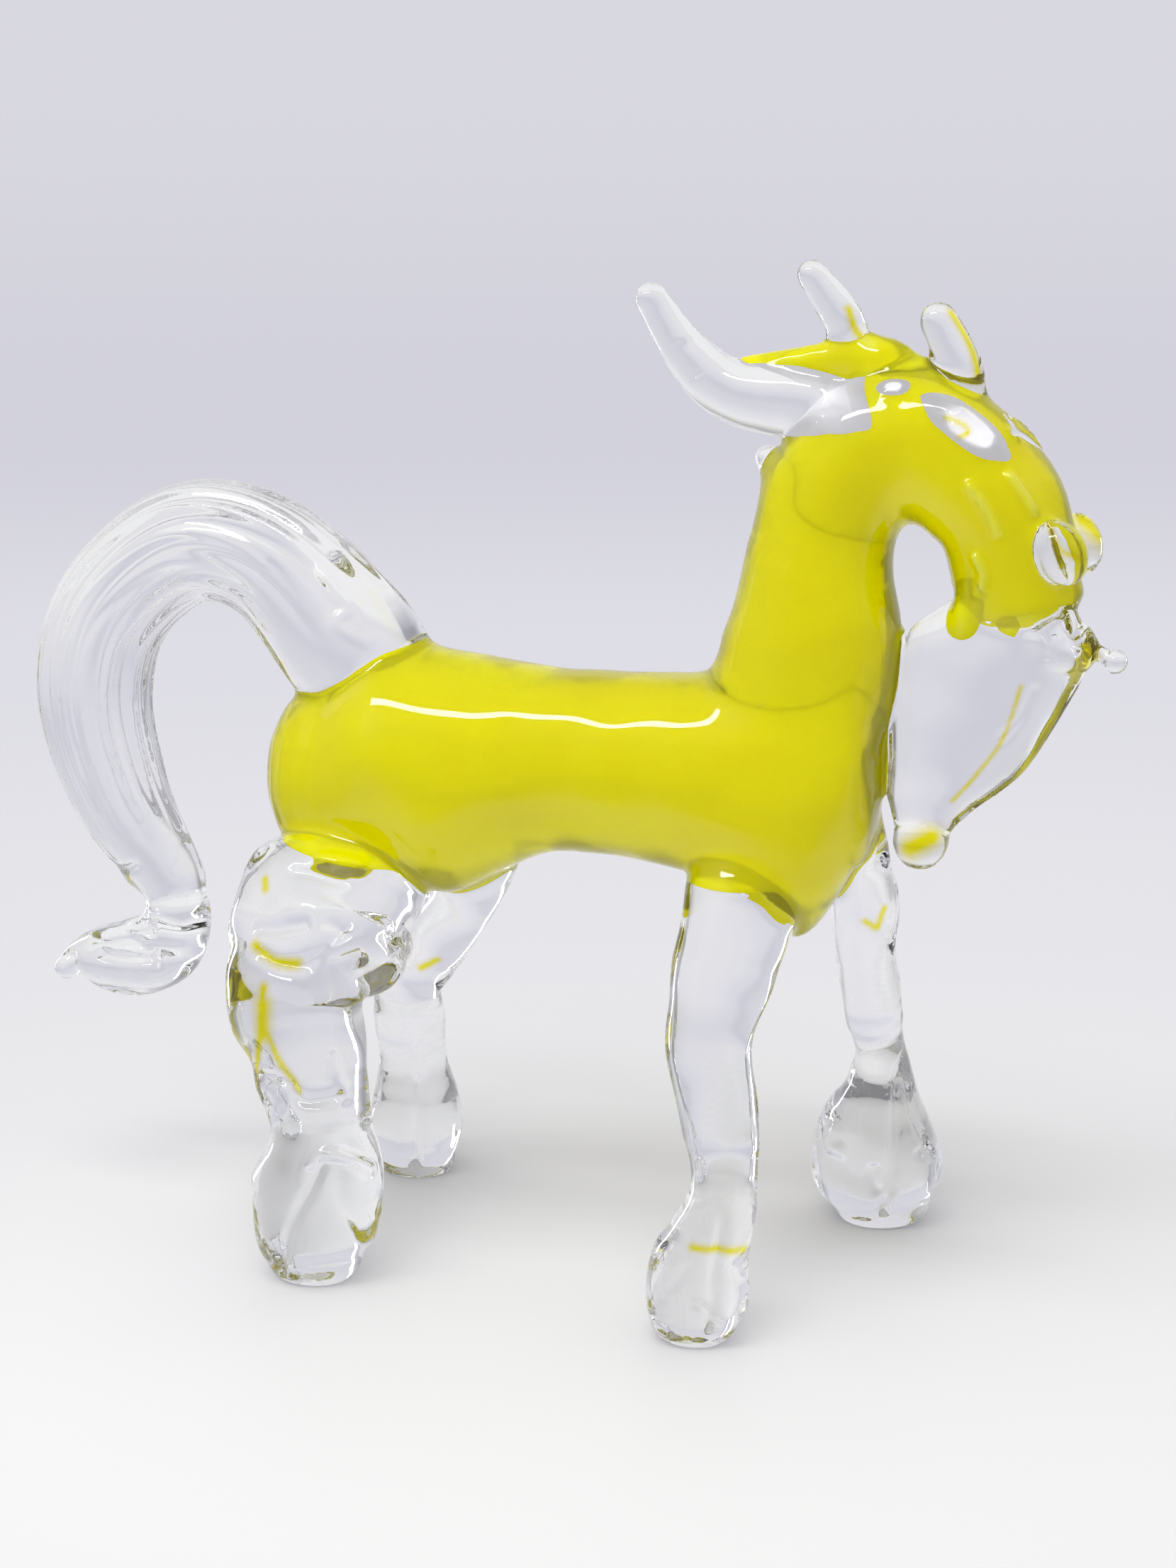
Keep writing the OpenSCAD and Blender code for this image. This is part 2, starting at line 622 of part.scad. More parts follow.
// Left hind leg: a rod that swings back to the hock and down
left_hock = [
    left_hind_foot[0] + 0.16 * left_thigh_thickness,
    along(left_hind_hip[1], left_hind_foot[1], 0.66),
    along(left_hind_hip[2], left_hind_pastern[2], 0.62)
];
module left_hind_thigh_form() {
    thick = half(left_thigh_thickness);
    bend = along(left_hind_hip, left_hock, 0.45) + [0.16 * thick, 0, -0.16 * thick];
    loft([
        station(left_hind_hip, 1.08 * thick, 1.08 * thick),
        station(bend, thick, thick),
        station(left_hock, 1.08 * thick, 1.08 * thick)
    ]);
}
module left_hind_shank_form() {
    thick = half(left_thigh_thickness);
    calf = along(thick, left_hind_neck, 0.6);
    loft([
        station(left_hock, 0.9 * thick, 0.9 * thick),
        station(along(left_hock, left_hind_pastern, 0.5) - [0.16 * thick, 0, 0], calf, calf),
        sunk_end(left_hind_pastern, left_hind_neck)
    ]);
}

// One piece in its place: its glass, less the pieces that it is fused to
module piece(glass) {
    color(glass) translate([-middle_x, 0, 0]) difference() {
        children(0);
        if ($children > 1) children([1 : $children - 1]);
    }
}

module torso() {
    piece(yellow_glass) torso_form();
}
module neck() {
    piece(yellow_glass) {
        neck_form();
        torso_form();
    }
}
module head() {
    piece(yellow_glass) {
        head_form();
        neck_form();
        eye_form(-1);
        eye_form(1);
    }
}
module crest() {
    piece(yellow_glass) {
        crest_form();
        head_form();
        neck_form();
    }
}
module right_eye() {
    piece(clear_glass) {
        eye_form(-1);
        neck_form();
    }
}
module left_eye() {
    piece(clear_glass) {
        eye_form(1);
        neck_form();
    }
}
module right_nostril() {
    piece(clear_glass) {
        nostril_form(-1);
        head_form();
    }
}
module left_nostril() {
    piece(clear_glass) {
        nostril_form(1);
        head_form();
    }
}
module lips() {
    piece(clear_glass) {
        lips_form();
        head_form();
    }
}
module lip_drop() {
    piece(clear_glass) {
        lip_drop_form();
        lips_form();
        head_form();
    }
}
module jaw_bead() {
    piece(yellow_glass) {
        jaw_bead_form();
        head_form();
    }
}
module nape_bead() {
    piece(clear_glass) {
        nape_bead_form();
        neck_form();
    }
}
module mane_lock() {
    piece(clear_glass) {
        mane_form();
        neck_form();
        head_form();
        crest_form();
        nape_bead_form();
    }
}
module poll_lock() {
    piece(clear_glass) {
        poll_form();
        crest_form();
        head_form();
    }
}
module forelock() {
    piece(clear_glass) {
        forelock_form();
        head_form();
        eye_form(-1);
        eye_form(1);
    }
}
module beard() {
    piece(clear_glass) {
        beard_form();
        torso_form();
        neck_form();
        head_form();
        lips_form();
        jaw_bead_form();
        beard_bead_form();
    }
}
module beard_bead() {
    piece(clear_glass) {
        beard_bead_form();
        torso_form();
    }
}
module tail() {
    piece(clear_glass) {
        tail_form();
        torso_form();
    }
}
module tail_curl() {
    piece(clear_glass) {
        curl_form();
        tail_form();
    }
}
module right_fore_leg() {
    piece(clear_glass) {
        right_fore_leg_form();
        torso_form();
        right_fore_hoof_form();
    }
}
module right_fore_hoof() {
    piece(clear_glass) right_fore_hoof_form();
}
module left_fore_leg() {
    piece(clear_glass) {
        left_fore_leg_form();
        torso_form();
        left_fore_hoof_form();
    }
}
module left_fore_hoof() {
    piece(clear_glass) left_fore_hoof_form();
}
module right_hind_thigh() {
    piece(clear_glass) {
        right_hind_thigh_form();
        torso_form();
    }
}
module right_hind_shank() {
    piece(clear_glass) {
        right_hind_shank_form();
        right_hind_thigh_form();
        right_hind_hoof_form();
    }
}
module right_hind_hoof() {
    piece(clear_glass) right_hind_hoof_form();
}
module left_hind_thigh() {
    piece(clear_glass) {
        left_hind_thigh_form();
        torso_form();
    }
}
module left_hind_shank() {
    piece(clear_glass) {
        left_hind_shank_form();
        left_hind_thigh_form();
        left_hind_hoof_form();
    }
}
module left_hind_hoof() {
    piece(clear_glass) left_hind_hoof_form();
}

torso();
neck();
head();
crest();
right_eye();
left_eye();
right_nostril();
left_nostril();
lips();
lip_drop();
jaw_bead();
nape_bead();
mane_lock();
poll_lock();
forelock();
beard();
beard_bead();
tail();
tail_curl();
right_fore_leg();
right_fore_hoof();
left_fore_leg();
left_fore_hoof();
right_hind_thigh();
right_hind_shank();
right_hind_hoof();
left_hind_thigh();
left_hind_shank();
left_hind_hoof();
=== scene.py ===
import math

import bmesh
import bpy
import numpy as np
from mathutils import Matrix, Vector, kdtree, noise
from mathutils.bvhtree import BVHTree


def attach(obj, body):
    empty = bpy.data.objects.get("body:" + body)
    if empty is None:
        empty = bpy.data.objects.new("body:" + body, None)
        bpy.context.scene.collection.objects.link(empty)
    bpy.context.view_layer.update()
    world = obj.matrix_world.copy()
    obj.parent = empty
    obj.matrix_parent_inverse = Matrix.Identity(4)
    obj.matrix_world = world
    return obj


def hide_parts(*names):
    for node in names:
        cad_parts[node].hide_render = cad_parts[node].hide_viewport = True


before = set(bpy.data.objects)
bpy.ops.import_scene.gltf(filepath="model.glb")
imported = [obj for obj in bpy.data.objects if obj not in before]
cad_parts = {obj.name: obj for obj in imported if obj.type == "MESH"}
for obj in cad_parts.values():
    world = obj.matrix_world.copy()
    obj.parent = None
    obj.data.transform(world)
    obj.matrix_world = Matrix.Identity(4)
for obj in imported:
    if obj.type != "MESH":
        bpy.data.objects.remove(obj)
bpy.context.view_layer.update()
scene = bpy.context.scene
print("frame loaded:", len(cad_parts), "nodes")

# Everything is modelled in millimetres in the shared frame and brought to metres at the end
millimetre = 0.001

# How the glass runs together where the pieces meet
melt = {
    "voxel": 0.2,           # grain of the fused skin
    "flowStep": 0.5,        # how far a point moves to the middle of its neighbours in one round
    "joinReach": 1.1,       # how far from a join the skin flows
    "joinRounds": 24,       # how much it flows there
    "blendReach": 2.4,      # pieces of one family run together from further off
    "blendRounds": 130,
    "skinRounds": 4,        # light flow over everything
    "lineRounds": 1,        # and once more when the creases are drawn
    "shareRounds": 6,       # how far the lines between the pieces are evened out
    "seamRounds": 8,        # how smooth these lines are
    "lumpSize": 3.4,        # width of the lumps that the tongs leave
    "lumpLeast": 0.01,      # lower lumps are left out
}

# How rods and beads are pulled, unless a piece says otherwise
pull = {
    "sides": 40,            # points round a rod
    "steps": 8,             # rings from one station to the next
    "round": 1.0,           # height of a rod's domed end, as a share of its half size
    "domeRings": 6,
    "domeTip": 0.4,         # share of a ring's step that is left at the tip of a dome
    "beadRounds": 4,        # how often the faces of a bead are divided
}

# What a piece is, unless it says otherwise
plainPiece = {
    "glass": "clear",
    "grow": 0.0,            # how far it takes over the skin past its own form
    "lump": 0.0,            # height of the lumps on it
    "creases": [],
    "streaksAndGlints": [],
    "patches": 1,           # how many separate patches of the skin it has
    "pale": False,          # lies on a pale bed that glows with painted light
    "edgeLit": True,        # the window lamp draws its edges, where it is clear
}

forms = {}      # raw form of each piece
looks = {}      # glass and surface of each piece


def between(a, b, c, d, t):
    # point between b and c on a smooth curve through all four
    bend = 2 * a - 5 * b + 4 * c - d
    twist = 3 * b - a - 3 * c + d
    return 0.5 * (2 * b + (c - a) * t + bend * t ** 2 + twist * t ** 3)


def smoothRows(stations, steps):
    rows = [np.array(s, dtype=float) for s in stations]
    last = len(rows) - 1
    path = []
    for i in range(last):
        a, b, c, d = rows[max(i - 1, 0)], rows[i], rows[i + 1], rows[min(i + 2, last)]
        path += [between(a, b, c, d, k / steps) for k in range(steps)]
    return path + [rows[last]]


def ease(value, start, end):
    # 0 before start, 1 after end and a soft step between them
    t = min(max((value - start) / (end - start), 0.0), 1.0)
    return t * t * (3 - 2 * t)


def ringMatrix(spot, heading, rise, across):
    # unit circle to a ring: rise lies in the bend's plane, across lies square to it
    side = (Vector((0, 1, 0)) - heading * heading.y).normalized()
    up = side.cross(heading)
    turn = Matrix((up * rise, side * across, heading)).transposed()
    return Matrix.Translation(spot) @ turn.to_4x4()


def rodRings(rod):
    path = smoothRows(rod["stations"], rod.get("steps", pull["steps"]))
    spots = [Vector(row[:3]) for row in path]
    last = len(path) - 1
    facing = rod.get("facing")
    headings = []
    for i in range(last + 1):
        way = spots[min(i + 1, last)] - spots[max(i - 1, 0)]
        headings.append(Vector(facing) if facing else way.normalized())
    rings = [(spots[i], headings[i], path[i][3], path[i][4], i / last) for i in range(last + 1)]

    def dome(end, way, share):
        spot, heading, rise, across, along = rings[end]
        height = share * min(rise, across)
        count = pull["domeRings"]
        turns = [math.radians(90 * j / (count + pull["domeTip"])) for j in range(1, count + 1)]
        return [(spot + heading * way * height * math.sin(a), heading, rise * math.cos(a),
                 across * math.cos(a), along) for a in turns]

    start = dome(0, -1, rod.get("startRound", pull["round"]))
    end = dome(last, 1, rod.get("endRound", pull["round"]))
    return start[::-1] + rings + end


def pullRod(rod):
    # one ring, extruded from station to station and closed at both ends
    bm = bmesh.new()
    rings = rodRings(rod)
    matrices = [ringMatrix(*ring[:4]) for ring in rings]
    sides = rod.get("sides", pull["sides"])
    circle = bmesh.ops.create_circle(bm, cap_ends=True, segments=sides, radius=1.0, matrix=matrices[0])
    rows = [circle["verts"]]
    rim = [e for e in bm.edges if e.is_boundary]
    for before, after in zip(matrices, matrices[1:]):
        drawn = bmesh.ops.extrude_edge_only(bm, edges=rim)["geom"]
        verts = [g for g in drawn if isinstance(g, bmesh.types.BMVert)]
        fresh = set(verts)
        rim = [g for g in drawn if isinstance(g, bmesh.types.BMEdge) and fresh.issuperset(g.verts)]
        bmesh.ops.transform(bm, matrix=after @ before.inverted(), verts=verts)
        rows.append(verts)
    bmesh.ops.contextual_create(bm, geom=rim)
    if "combs" in rod:
        combRod(rod, rings, matrices, rows)
    bmesh.ops.recalc_face_normals(bm, faces=bm.faces)
    return bm


def combRod(rod, rings, matrices, rows):
    # grooves drawn along the rod: each comb is its count round the rod, its depth and its turn
    for ring, matrix, verts in zip(rings, matrices, rows):
        back = matrix.inverted()
        drawn = ease(ring[4], *rod["combStart"]) * (1 - ease(ring[4], *rod["combEnd"]))
        for vert in verts:
            local = back @ vert.co
            angle = math.atan2(local.y, local.x)
            depth = sum(d * math.cos(count * angle + turn) for count, d, turn in rod["combs"])
            vert.co += (vert.co - ring[0]).normalized() * depth * drawn


def dropBead(bead):
    # a round bead, pulled out of round and tilted
    bm = bmesh.new()
    stretch = Matrix.Diagonal((*bead["radii"], 1.0))
    place = Matrix.Translation(bead["at"]) @ Matrix.Rotation(math.radians(bead.get("tilt", 0)), 4, "Y")
    bmesh.ops.create_icosphere(bm, subdivisions=pull["beadRounds"], radius=1.0, matrix=place @ stretch)
    return bm


def addForm(bm, form):
    # put one form in with others
    mesh = bpy.data.meshes.new("form")
    form.to_mesh(mesh)
    bm.from_mesh(mesh)
    bpy.data.meshes.remove(mesh)


def addPiece(name, piece):
    # a piece of one rod gives the rod's values itself
    bm = bmesh.new()
    single = [piece] if "stations" in piece else []
    rods = [pullRod(rod) for rod in piece.get("rods", single)]
    beads = [dropBead(bead) for bead in piece.get("beads", [])]
    for made in rods + beads:
        addForm(bm, made)
        made.free()
    forms[name] = bm
    looks[name] = {"family": name, **plainPiece, **piece}


# Stations are x, y, z, half the size in the bend's plane and half the size across.
# Creases are a depth, a width and points on the skin; a depth below zero makes a ridge.
# Streaks are a width and points on the skin, in their glass's streak colour: most are threads of the other
# glass, and some are painted glints or a painted view through the glass, marked where they stand.
torso = {
    "glass": "yellow",
    "family": "body",
    "grow": 0.35,
    "lump": 0.12,
    "sides": 64,
    "facing": (1, 0, 0),
    "endRound": 0.4,
    "stations": [
        (-15.0, 0, 32.4, 7.2, 5.4),
        (-10.8, 0, 34.1, 8.0, 6.7),
        (-6.2, 0, 33.3, 8.5, 6.9),
        (1.7, 0, 34.7, 6.3, 6.0),
        (12.9, 0, 34.4, 7.1, 6.0),
        (18.6, 0, 33.8, 10.0, 5.8),
        (22.2, 0, 36.6, 7.8, 4.6),
    ],
}
addPiece("torso", torso)

neck = {
    "glass": "yellow",
    "family": "body",
    "sides": 56,
    "endRound": 0.6,
    "stations": [
        (16.8, 0, 35.7, 6.0, 4.8),
        (19.0, 0, 43.0, 6.0, 5.0),
        (19.4, 0, 48.7, 4.9, 4.5),
        (20.2, 0, 54.4, 4.6, 3.9),
    ],
}
addPiece("neck", neck)

head = {
    "glass": "yellow",
    "family": "body",
    "sides": 56,
    "startRound": 0.4,
    "endRound": 0.45,
    "stations": [
        (20.0, 0, 51.8, 4.5, 4.2),
        (21.6, 0, 55.0, 4.7, 4.2),
        (25.5, 0, 56.9, 4.7, 4.1),
        (30.7, 0, 53.2, 4.3, 4.0),
        (32.0, 0, 49.1, 4.0, 3.7),
        (32.8, 0, 46.6, 3.9, 3.3),
    ],
    "creases": [
        (-0.35, 0.4, [(29.0, -4, 59.6), (30.2, -4, 58.6), (31.4, -4, 57.4)]),
        (-0.35, 0.4, [(29.0, 4, 59.6), (30.2, 4, 58.6), (31.4, 4, 57.4)]),
        (-0.45, 0.3, [(29.6, -4.2, 54.9), (30.9, -4.2, 53.3), (31.9, -4.2, 51.4)]),
        (-0.45, 0.3, [(32.2, -4, 55.8), (33.5, -4, 54.1), (34.8, -4, 52.4)]),
        (-0.45, 0.3, [(29.9, -4, 50.3), (30.7, -4, 49.0), (30.4, -4, 47.8)]),
    ],
    # painted highlights: paler yellow lines along the three ridges of the face, standing in for their
    # glints
    "streaksAndGlints": [
        (0.2, [(29.9, -4.2, 54.4), (30.9, -4.2, 53.3), (31.8, -4.2, 51.7)]),
        (0.2, [(32.4, -4, 55.5), (33.5, -4, 54.1), (34.6, -4, 52.7)]),
        (0.25, [(30.1, -4, 50.1), (30.7, -4, 49.0), (30.4, -4, 48.0)]),
    ],
}
addPiece("head", head)

crest = {
    "glass": "yellow",
    "family": "body",
    "stations": [
        (26.6, 0, 59.6, 1.7, 1.7),
        (22.8, 0, 61.8, 1.8, 1.7),
        (18.8, 0, 62.0, 0.9, 1.3),
        (14.4, 0, 61.7, 0.5, 0.7),
    ],
}
addPiece("crest", crest)

# Almond eye on each cheek, a yellow hook in it, a small window behind it, and a slot over the near one
eye = {
    "grow": 0.05,
    "out": 2.8,
    "almond": [(26.5, 59.8, 0.3), (28.0, 58.8, 1.1), (30.5, 57.0, 1.1), (31.9, 56.1, 0.3)],
    "slotOut": 2.3,
    "slot": [(31.3, 59.0, 0.2), (32.6, 57.9, 0.5), (33.9, 56.7, 0.25)],
    "diamond": (24.7, 2.4, 60.2),
    "diamondRadii": (1.2, 0.9, 0.7),
    "lineOut": 4.0,         # lines on the eye are given outside the cheek
    "glint": [(28.4, 58.3), (29.8, 57.7), (31.3, 57.2)],
    "glintDepth": -0.3,
    "glintWidth": 0.3,
    "hook": [(28.2, 58.7), (29.3, 58.3), (29.7, 57.8), (29.1, 57.5)],
    "hookWidth": 0.2,
}
for name, side in (("right_eye", -1), ("left_eye", 1)):
    almond = [(x, side * eye["out"], z, size, size) for x, z, size in eye["almond"]]
    windows = [{"stations": almond}]
    if side < 0:
        windows.append({"stations": [(x, -eye["slotOut"], z, size, size) for x, z, size in eye["slot"]]})
    glint = [(x, side * eye["lineOut"], z) for x, z in eye["glint"]]
    hook = [(x, side * eye["lineOut"], z) for x, z in eye["hook"]]
    x, out, z = eye["diamond"]
    addPiece(name, {
        "pale": True,
        "patches": len(windows) + 1,
        "grow": eye["grow"],
        "rods": windows,
        "beads": [{"at": (x, side * out, z), "radii": eye["diamondRadii"]}],
        "creases": [(eye["glintDepth"], eye["glintWidth"], glint)],
        "streaksAndGlints": [(eye["hookWidth"], hook)],
    })

# The near nostril has a thread of yellow in it; the far one is painted yellow over its outside, standing in
# for the yellow head seen through it
nostril = {
    "x": 35.5, "z": 50.5, "out": 3.0, "radii": (1.6, 1.6, 2.1), "tilt": -22,
    "right_nostril": (0.25, [(34.8, -4.2, 52.4), (35.7, -4.6, 50.9), (37.0, -4.0, 50.4)]),
    "left_nostril": (1.4, [(36.0, 2.4, 52.2), (36.9, 2.6, 51.4)]),
}
for name, side in (("right_nostril", -1), ("left_nostril", 1)):
    spot = (nostril["x"], side * nostril["out"], nostril["z"])
    addPiece(name, {
        "beads": [{"at": spot, "radii": nostril["radii"], "tilt": nostril["tilt"]}],
        "streaksAndGlints": [nostril[name]],
    })

lips = {
    "lump": 0.35,
    "stations": [
        (33.4, -0.4, 45.9, 1.7, 2.3),
        (35.0, -0.4, 45.2, 1.8, 2.1),
        (36.4, 0, 44.7, 1.2, 1.4),
    ],
    "beads": [
        {"at": (33.9, -1.7, 45.2), "radii": (1.4, 1.2, 1.2)},
        {"at": (35.4, -1.4, 44.1), "radii": (1.2, 1.2, 1.2)},
        {"at": (35.6, -1.2, 46.0), "radii": (1.0, 1.1, 0.9)},
        {"at": (36.7, -0.6, 43.6), "radii": (0.7, 0.8, 0.8)},
        {"at": (35.0, 1.2, 44.8), "radii": (1.1, 1.2, 1.0)},
    ],
    "streaksAndGlints": [(0.45, [(36.9, -1.3, 43.9), (37.2, -1.3, 43.2)])],
    "creases": [
        (0.2, 0.35, [(33.0, -2.2, 45.9), (34.4, -2.2, 45.1), (34.9, -2.0, 43.6)]),
        (0.2, 0.3, [(35.5, -2.0, 46.6), (35.9, -2.0, 45.2), (36.6, -1.5, 44.3)]),
        (0.2, 0.35, [(33.4, 2.2, 45.6), (34.6, 2.2, 44.8), (35.6, 2.0, 44.6)]),
    ],
}
addPiece("lips", lips)

lipDrop = {
    "stations": [
        (36.4, 0, 44.8, 0.8, 0.8),
        (37.7, 0, 44.0, 0.5, 0.5),
        (38.4, 0, 43.6, 0.85, 0.85),
        (38.6, 0, 43.5, 0.85, 0.85),
    ],
    "streaksAndGlints": [(0.5, [(36.8, -0.6, 44.2), (37.2, -0.6, 43.8)])],
}
addPiece("lip_drop", lipDrop)

jawBead = {
    "glass": "yellow",
    "family": "body",
    "patches": 2,
    "grow": 0.3,
    "stations": [
        (30.5, -2.0, 48.4, 1.1, 1.1),
        (29.7, -1.9, 46.8, 1.1, 1.1),
        (29.4, -1.8, 45.7, 0.9, 0.9),
    ],
    "beads": [{"at": (32.3, -2.2, 46.3), "radii": (0.7, 0.8, 0.9)}],
}
addPiece("jaw_bead", jawBead)

napeBead = {
    "pale": True,
    "beads": [{"at": (15.8, 0, 55.6), "radii": (1.0, 1.0, 1.0)}],
}
addPiece("nape_bead", napeBead)

maneLock = {
    "pale": True,
    "stations": [
        (22.8, 0, 58.2, 2.1, 1.9),
        (18.3, 0, 59.2, 2.5, 2.1),
        (13.6, 0, 59.8, 2.1, 1.8),
        (10.3, 0, 62.2, 1.6, 1.5),
        (7.9, 0, 65.6, 1.1, 1.1),
    ],
    "lump": 0.15,
    "creases": [(0.3, 0.4, [(11.6, -1.4, 60.6), (10.9, -1.5, 61.8), (10.4, -1.3, 63.2)])],
}
addPiece("mane_lock", maneLock)

pollLock = {
    "stations": [(21.6, 0, 62.2, 1.4, 1.4), (20.5, 0, 64.7, 1.3, 1.3), (18.6, 0, 67.2, 1.0, 1.0)],
    "streaksAndGlints": [(0.35, [(21.2, -0.9, 65.1), (21.7, -0.9, 63.7), (22.8, -0.9, 62.7)])],
}
addPiece("poll_lock", pollLock)

forelock = {
    "stations": [(28.7, 0, 58.3, 1.4, 1.4), (28.2, 0, 61.5, 1.5, 1.4), (26.8, 0, 64.4, 1.2, 1.2)],
    "streaksAndGlints": [(0.4, [(28.1, -0.8, 65.2), (28.8, -0.8, 64.0), (29.3, -0.8, 62.6), (29.6, -0.8, 61.0)])],
}
addPiece("forelock", forelock)

beard = {
    "lump": 0.12,
    "sides": 56,
    "facing": (0, 0, -1),
    "startRound": 0.3,
    "endRound": 0.5,
    "stations": [
        (31.6, 0, 46.4, 4.2, 2.5),
        (31.1, 0, 44.2, 6.2, 2.5),
        (30.0, 0, 40.0, 5.6, 2.2),
        (28.7, 0, 36.0, 4.4, 1.8),
        (27.2, 0, 33.2, 2.8, 1.5),
        (26.7, 0, 31.0, 1.4, 1.2),
    ],
    "creases": [
        (0.25, 0.3, [(34.0, -1.7, 42.2), (33.6, -1.7, 40.9), (33.0, -1.7, 39.7), (31.6, -1.8, 38.0)]),
        (0.2, 0.4, [(32.9, -1.0, 35.6), (31.7, -1.0, 34.3), (30.1, -1.0, 33.3), (28.8, -1.0, 32.4)]),
    ],
    "streaksAndGlints": [(0.2, [(33.2, -2.4, 41.9), (32.2, -2.4, 38.4), (30.4, -2.2, 35.7), (29.0, -2.0, 34.0)])],
}
addPiece("beard", beard)

beardBead = {
    "beads": [{"at": (26.6, 0, 31.0), "radii": (1.9, 1.9, 1.9)}],
    "streaksAndGlints": [(1.0, [(26.2, -1.8, 30.8), (27.6, -1.4, 31.6)])],
}
addPiece("beard_bead", beardBead)

# The tail is smooth at its root and combed from the arch to its end
tail = {
    "edgeLit": False,       # its combs would turn the window's light into white bands
    "sides": 112,
    "steps": 12,
    "combs": [(14, 0.17, 0.0), (23, 0.05, 0.9)],
    "combStart": (0.12, 0.34),
    "combEnd": (0.82, 0.97),
    "stations": [
        (-11.2, 0, 37.6, 4.6, 3.4),
        (-14.2, 0, 41.8, 5.2, 3.9),
        (-20.0, 0, 47.4, 4.5, 3.3),
        (-26.6, 0, 48.4, 4.2, 3.3),
        (-32.9, 0, 43.7, 4.3, 3.3),
        (-34.9, 0, 37.2, 4.3, 3.3),
        (-33.1, 0, 29.9, 3.7, 3.0),
        (-28.9, 0, 23.6, 2.6, 2.3),
    ],
    "creases": [
        (-0.3, 0.5, [(-15.3, -3.5, 48.0), (-13.7, -3.6, 46.2), (-12.6, -3.6, 45.0), (-13.3, -3.8, 43.8),
                     (-10.4, -3.8, 42.4)]),
        (0.3, 0.6, [(-12.0, 3.8, 44.6), (-14.6, 3.8, 45.4), (-17.4, 3.6, 46.8)]),
    ],
    "streaksAndGlints": [(0.4, [(-17.4, -1.0, 41.2), (-17.0, -1.0, 40.0)])],
}
addPiece("tail", tail)

# The tail's end is folded to and fro
tailCurl = {
    "lump": 0.25,
    "stations": [
        (-29.4, 0, 24.8, 2.0, 1.9),
        (-28.6, 0, 21.4, 2.5, 2.2),
        (-29.6, 0, 18.7, 2.9, 2.4),
        (-32.2, 0, 17.4, 3.0, 2.4),
        (-35.0, 0, 17.2, 2.4, 2.1),
        (-36.8, 0, 17.0, 1.4, 1.3),
        (-38.3, 0, 16.1, 1.0, 1.0),
    ],
    "beads": [{"at": (-31.6, -0.7, 24.0), "radii": (1.0, 0.9, 1.3), "tilt": 20}],
    "creases": [
        (0.8, 0.35, [(-31.0, -2, 22.3), (-32.1, -2, 21.0), (-31.0, -2, 20.6), (-29.8, -2.2, 20.3),
                     (-29.4, -2.2, 19.6)]),
        (0.8, 0.35, [(-35.8, -2, 19.6), (-34.4, -2, 19.4), (-32.6, -2, 19.7), (-31.4, -2.2, 19.3),
                     (-30.3, -2.2, 18.6), (-28.8, -2, 19.4)]),
        (0.8, 0.35, [(-34.6, -2, 18.2), (-33.0, -2.4, 17.9), (-30.9, -2.4, 18.0), (-29.4, -2.4, 17.9),
                     (-29.3, -2.2, 17.2)]),
        (0.4, 0.3, [(-38.3, -1, 17.1), (-37.5, -1.2, 17.4), (-36.3, -1.4, 17.2)]),
        (0.5, 0.35, [(-36.4, -1.4, 15.8), (-36.7, 0, 15.4), (-36.4, 1.4, 15.8)]),
        (0.5, 0.3, [(-33.3, -1.2, 25.1), (-32.1, -1.4, 24.7), (-31.3, -1.4, 24.9), (-30.3, -1.4, 25.4)]),
        (0.5, 0.45, [(-31.6, 2, 21.3), (-30.0, 2.2, 20.2), (-28.4, 2, 20.6)]),
        (0.5, 0.45, [(-35.4, 2, 18.2), (-32.8, 2.4, 18.8), (-29.6, 2.2, 18.2)]),
    ],
    "streaksAndGlints": [(0.25, [(-31.5, -1.4, 24.2), (-31.5, -1.4, 23.3)])],
}
addPiece("tail_curl", tailCurl)

rightForeLeg = {
    "family": "rightFore",
    "lump": 0.25,
    "stations": [
        (15.1, -1.8, 30.1, 3.6, 2.9),
        (15.5, -3.6, 26.6, 3.8, 3.3),
        (15.0, -5.3, 22.8, 3.5, 3.3),
        (14.6, -7.4, 18.4, 2.9, 2.9),
        (16.2, -9.8, 13.2, 2.5, 2.5),
        (17.2, -11.8, 8.2, 2.2, 2.2),
    ],
    "streaksAndGlints": [(0.35, [(12.6, -4.4, 28.2), (12.8, -4.6, 27.0)])],
}
addPiece("right_fore_leg", rightForeLeg)

leftForeLeg = {
    "family": "leftFore",
    "lump": 0.2,
    "stations": [
        (21.6, 1.8, 32.1, 2.0, 1.6),
        (21.8, 4.5, 25.7, 2.3, 2.0),
        (21.7, 6.6, 20.5, 2.1, 2.0),
        (21.9, 8.8, 15.3, 2.1, 2.0),
        (22.2, 10.4, 10.7, 1.8, 1.8),
    ],
    "streaksAndGlints": [
        (0.3, [(23.7, 3.0, 25.4), (23.3, 3.0, 23.6)]),
        (0.35, [(22.4, 2.6, 24.2), (23.2, 2.8, 23.6)]),
    ],
}
addPiece("left_fore_leg", leftForeLeg)

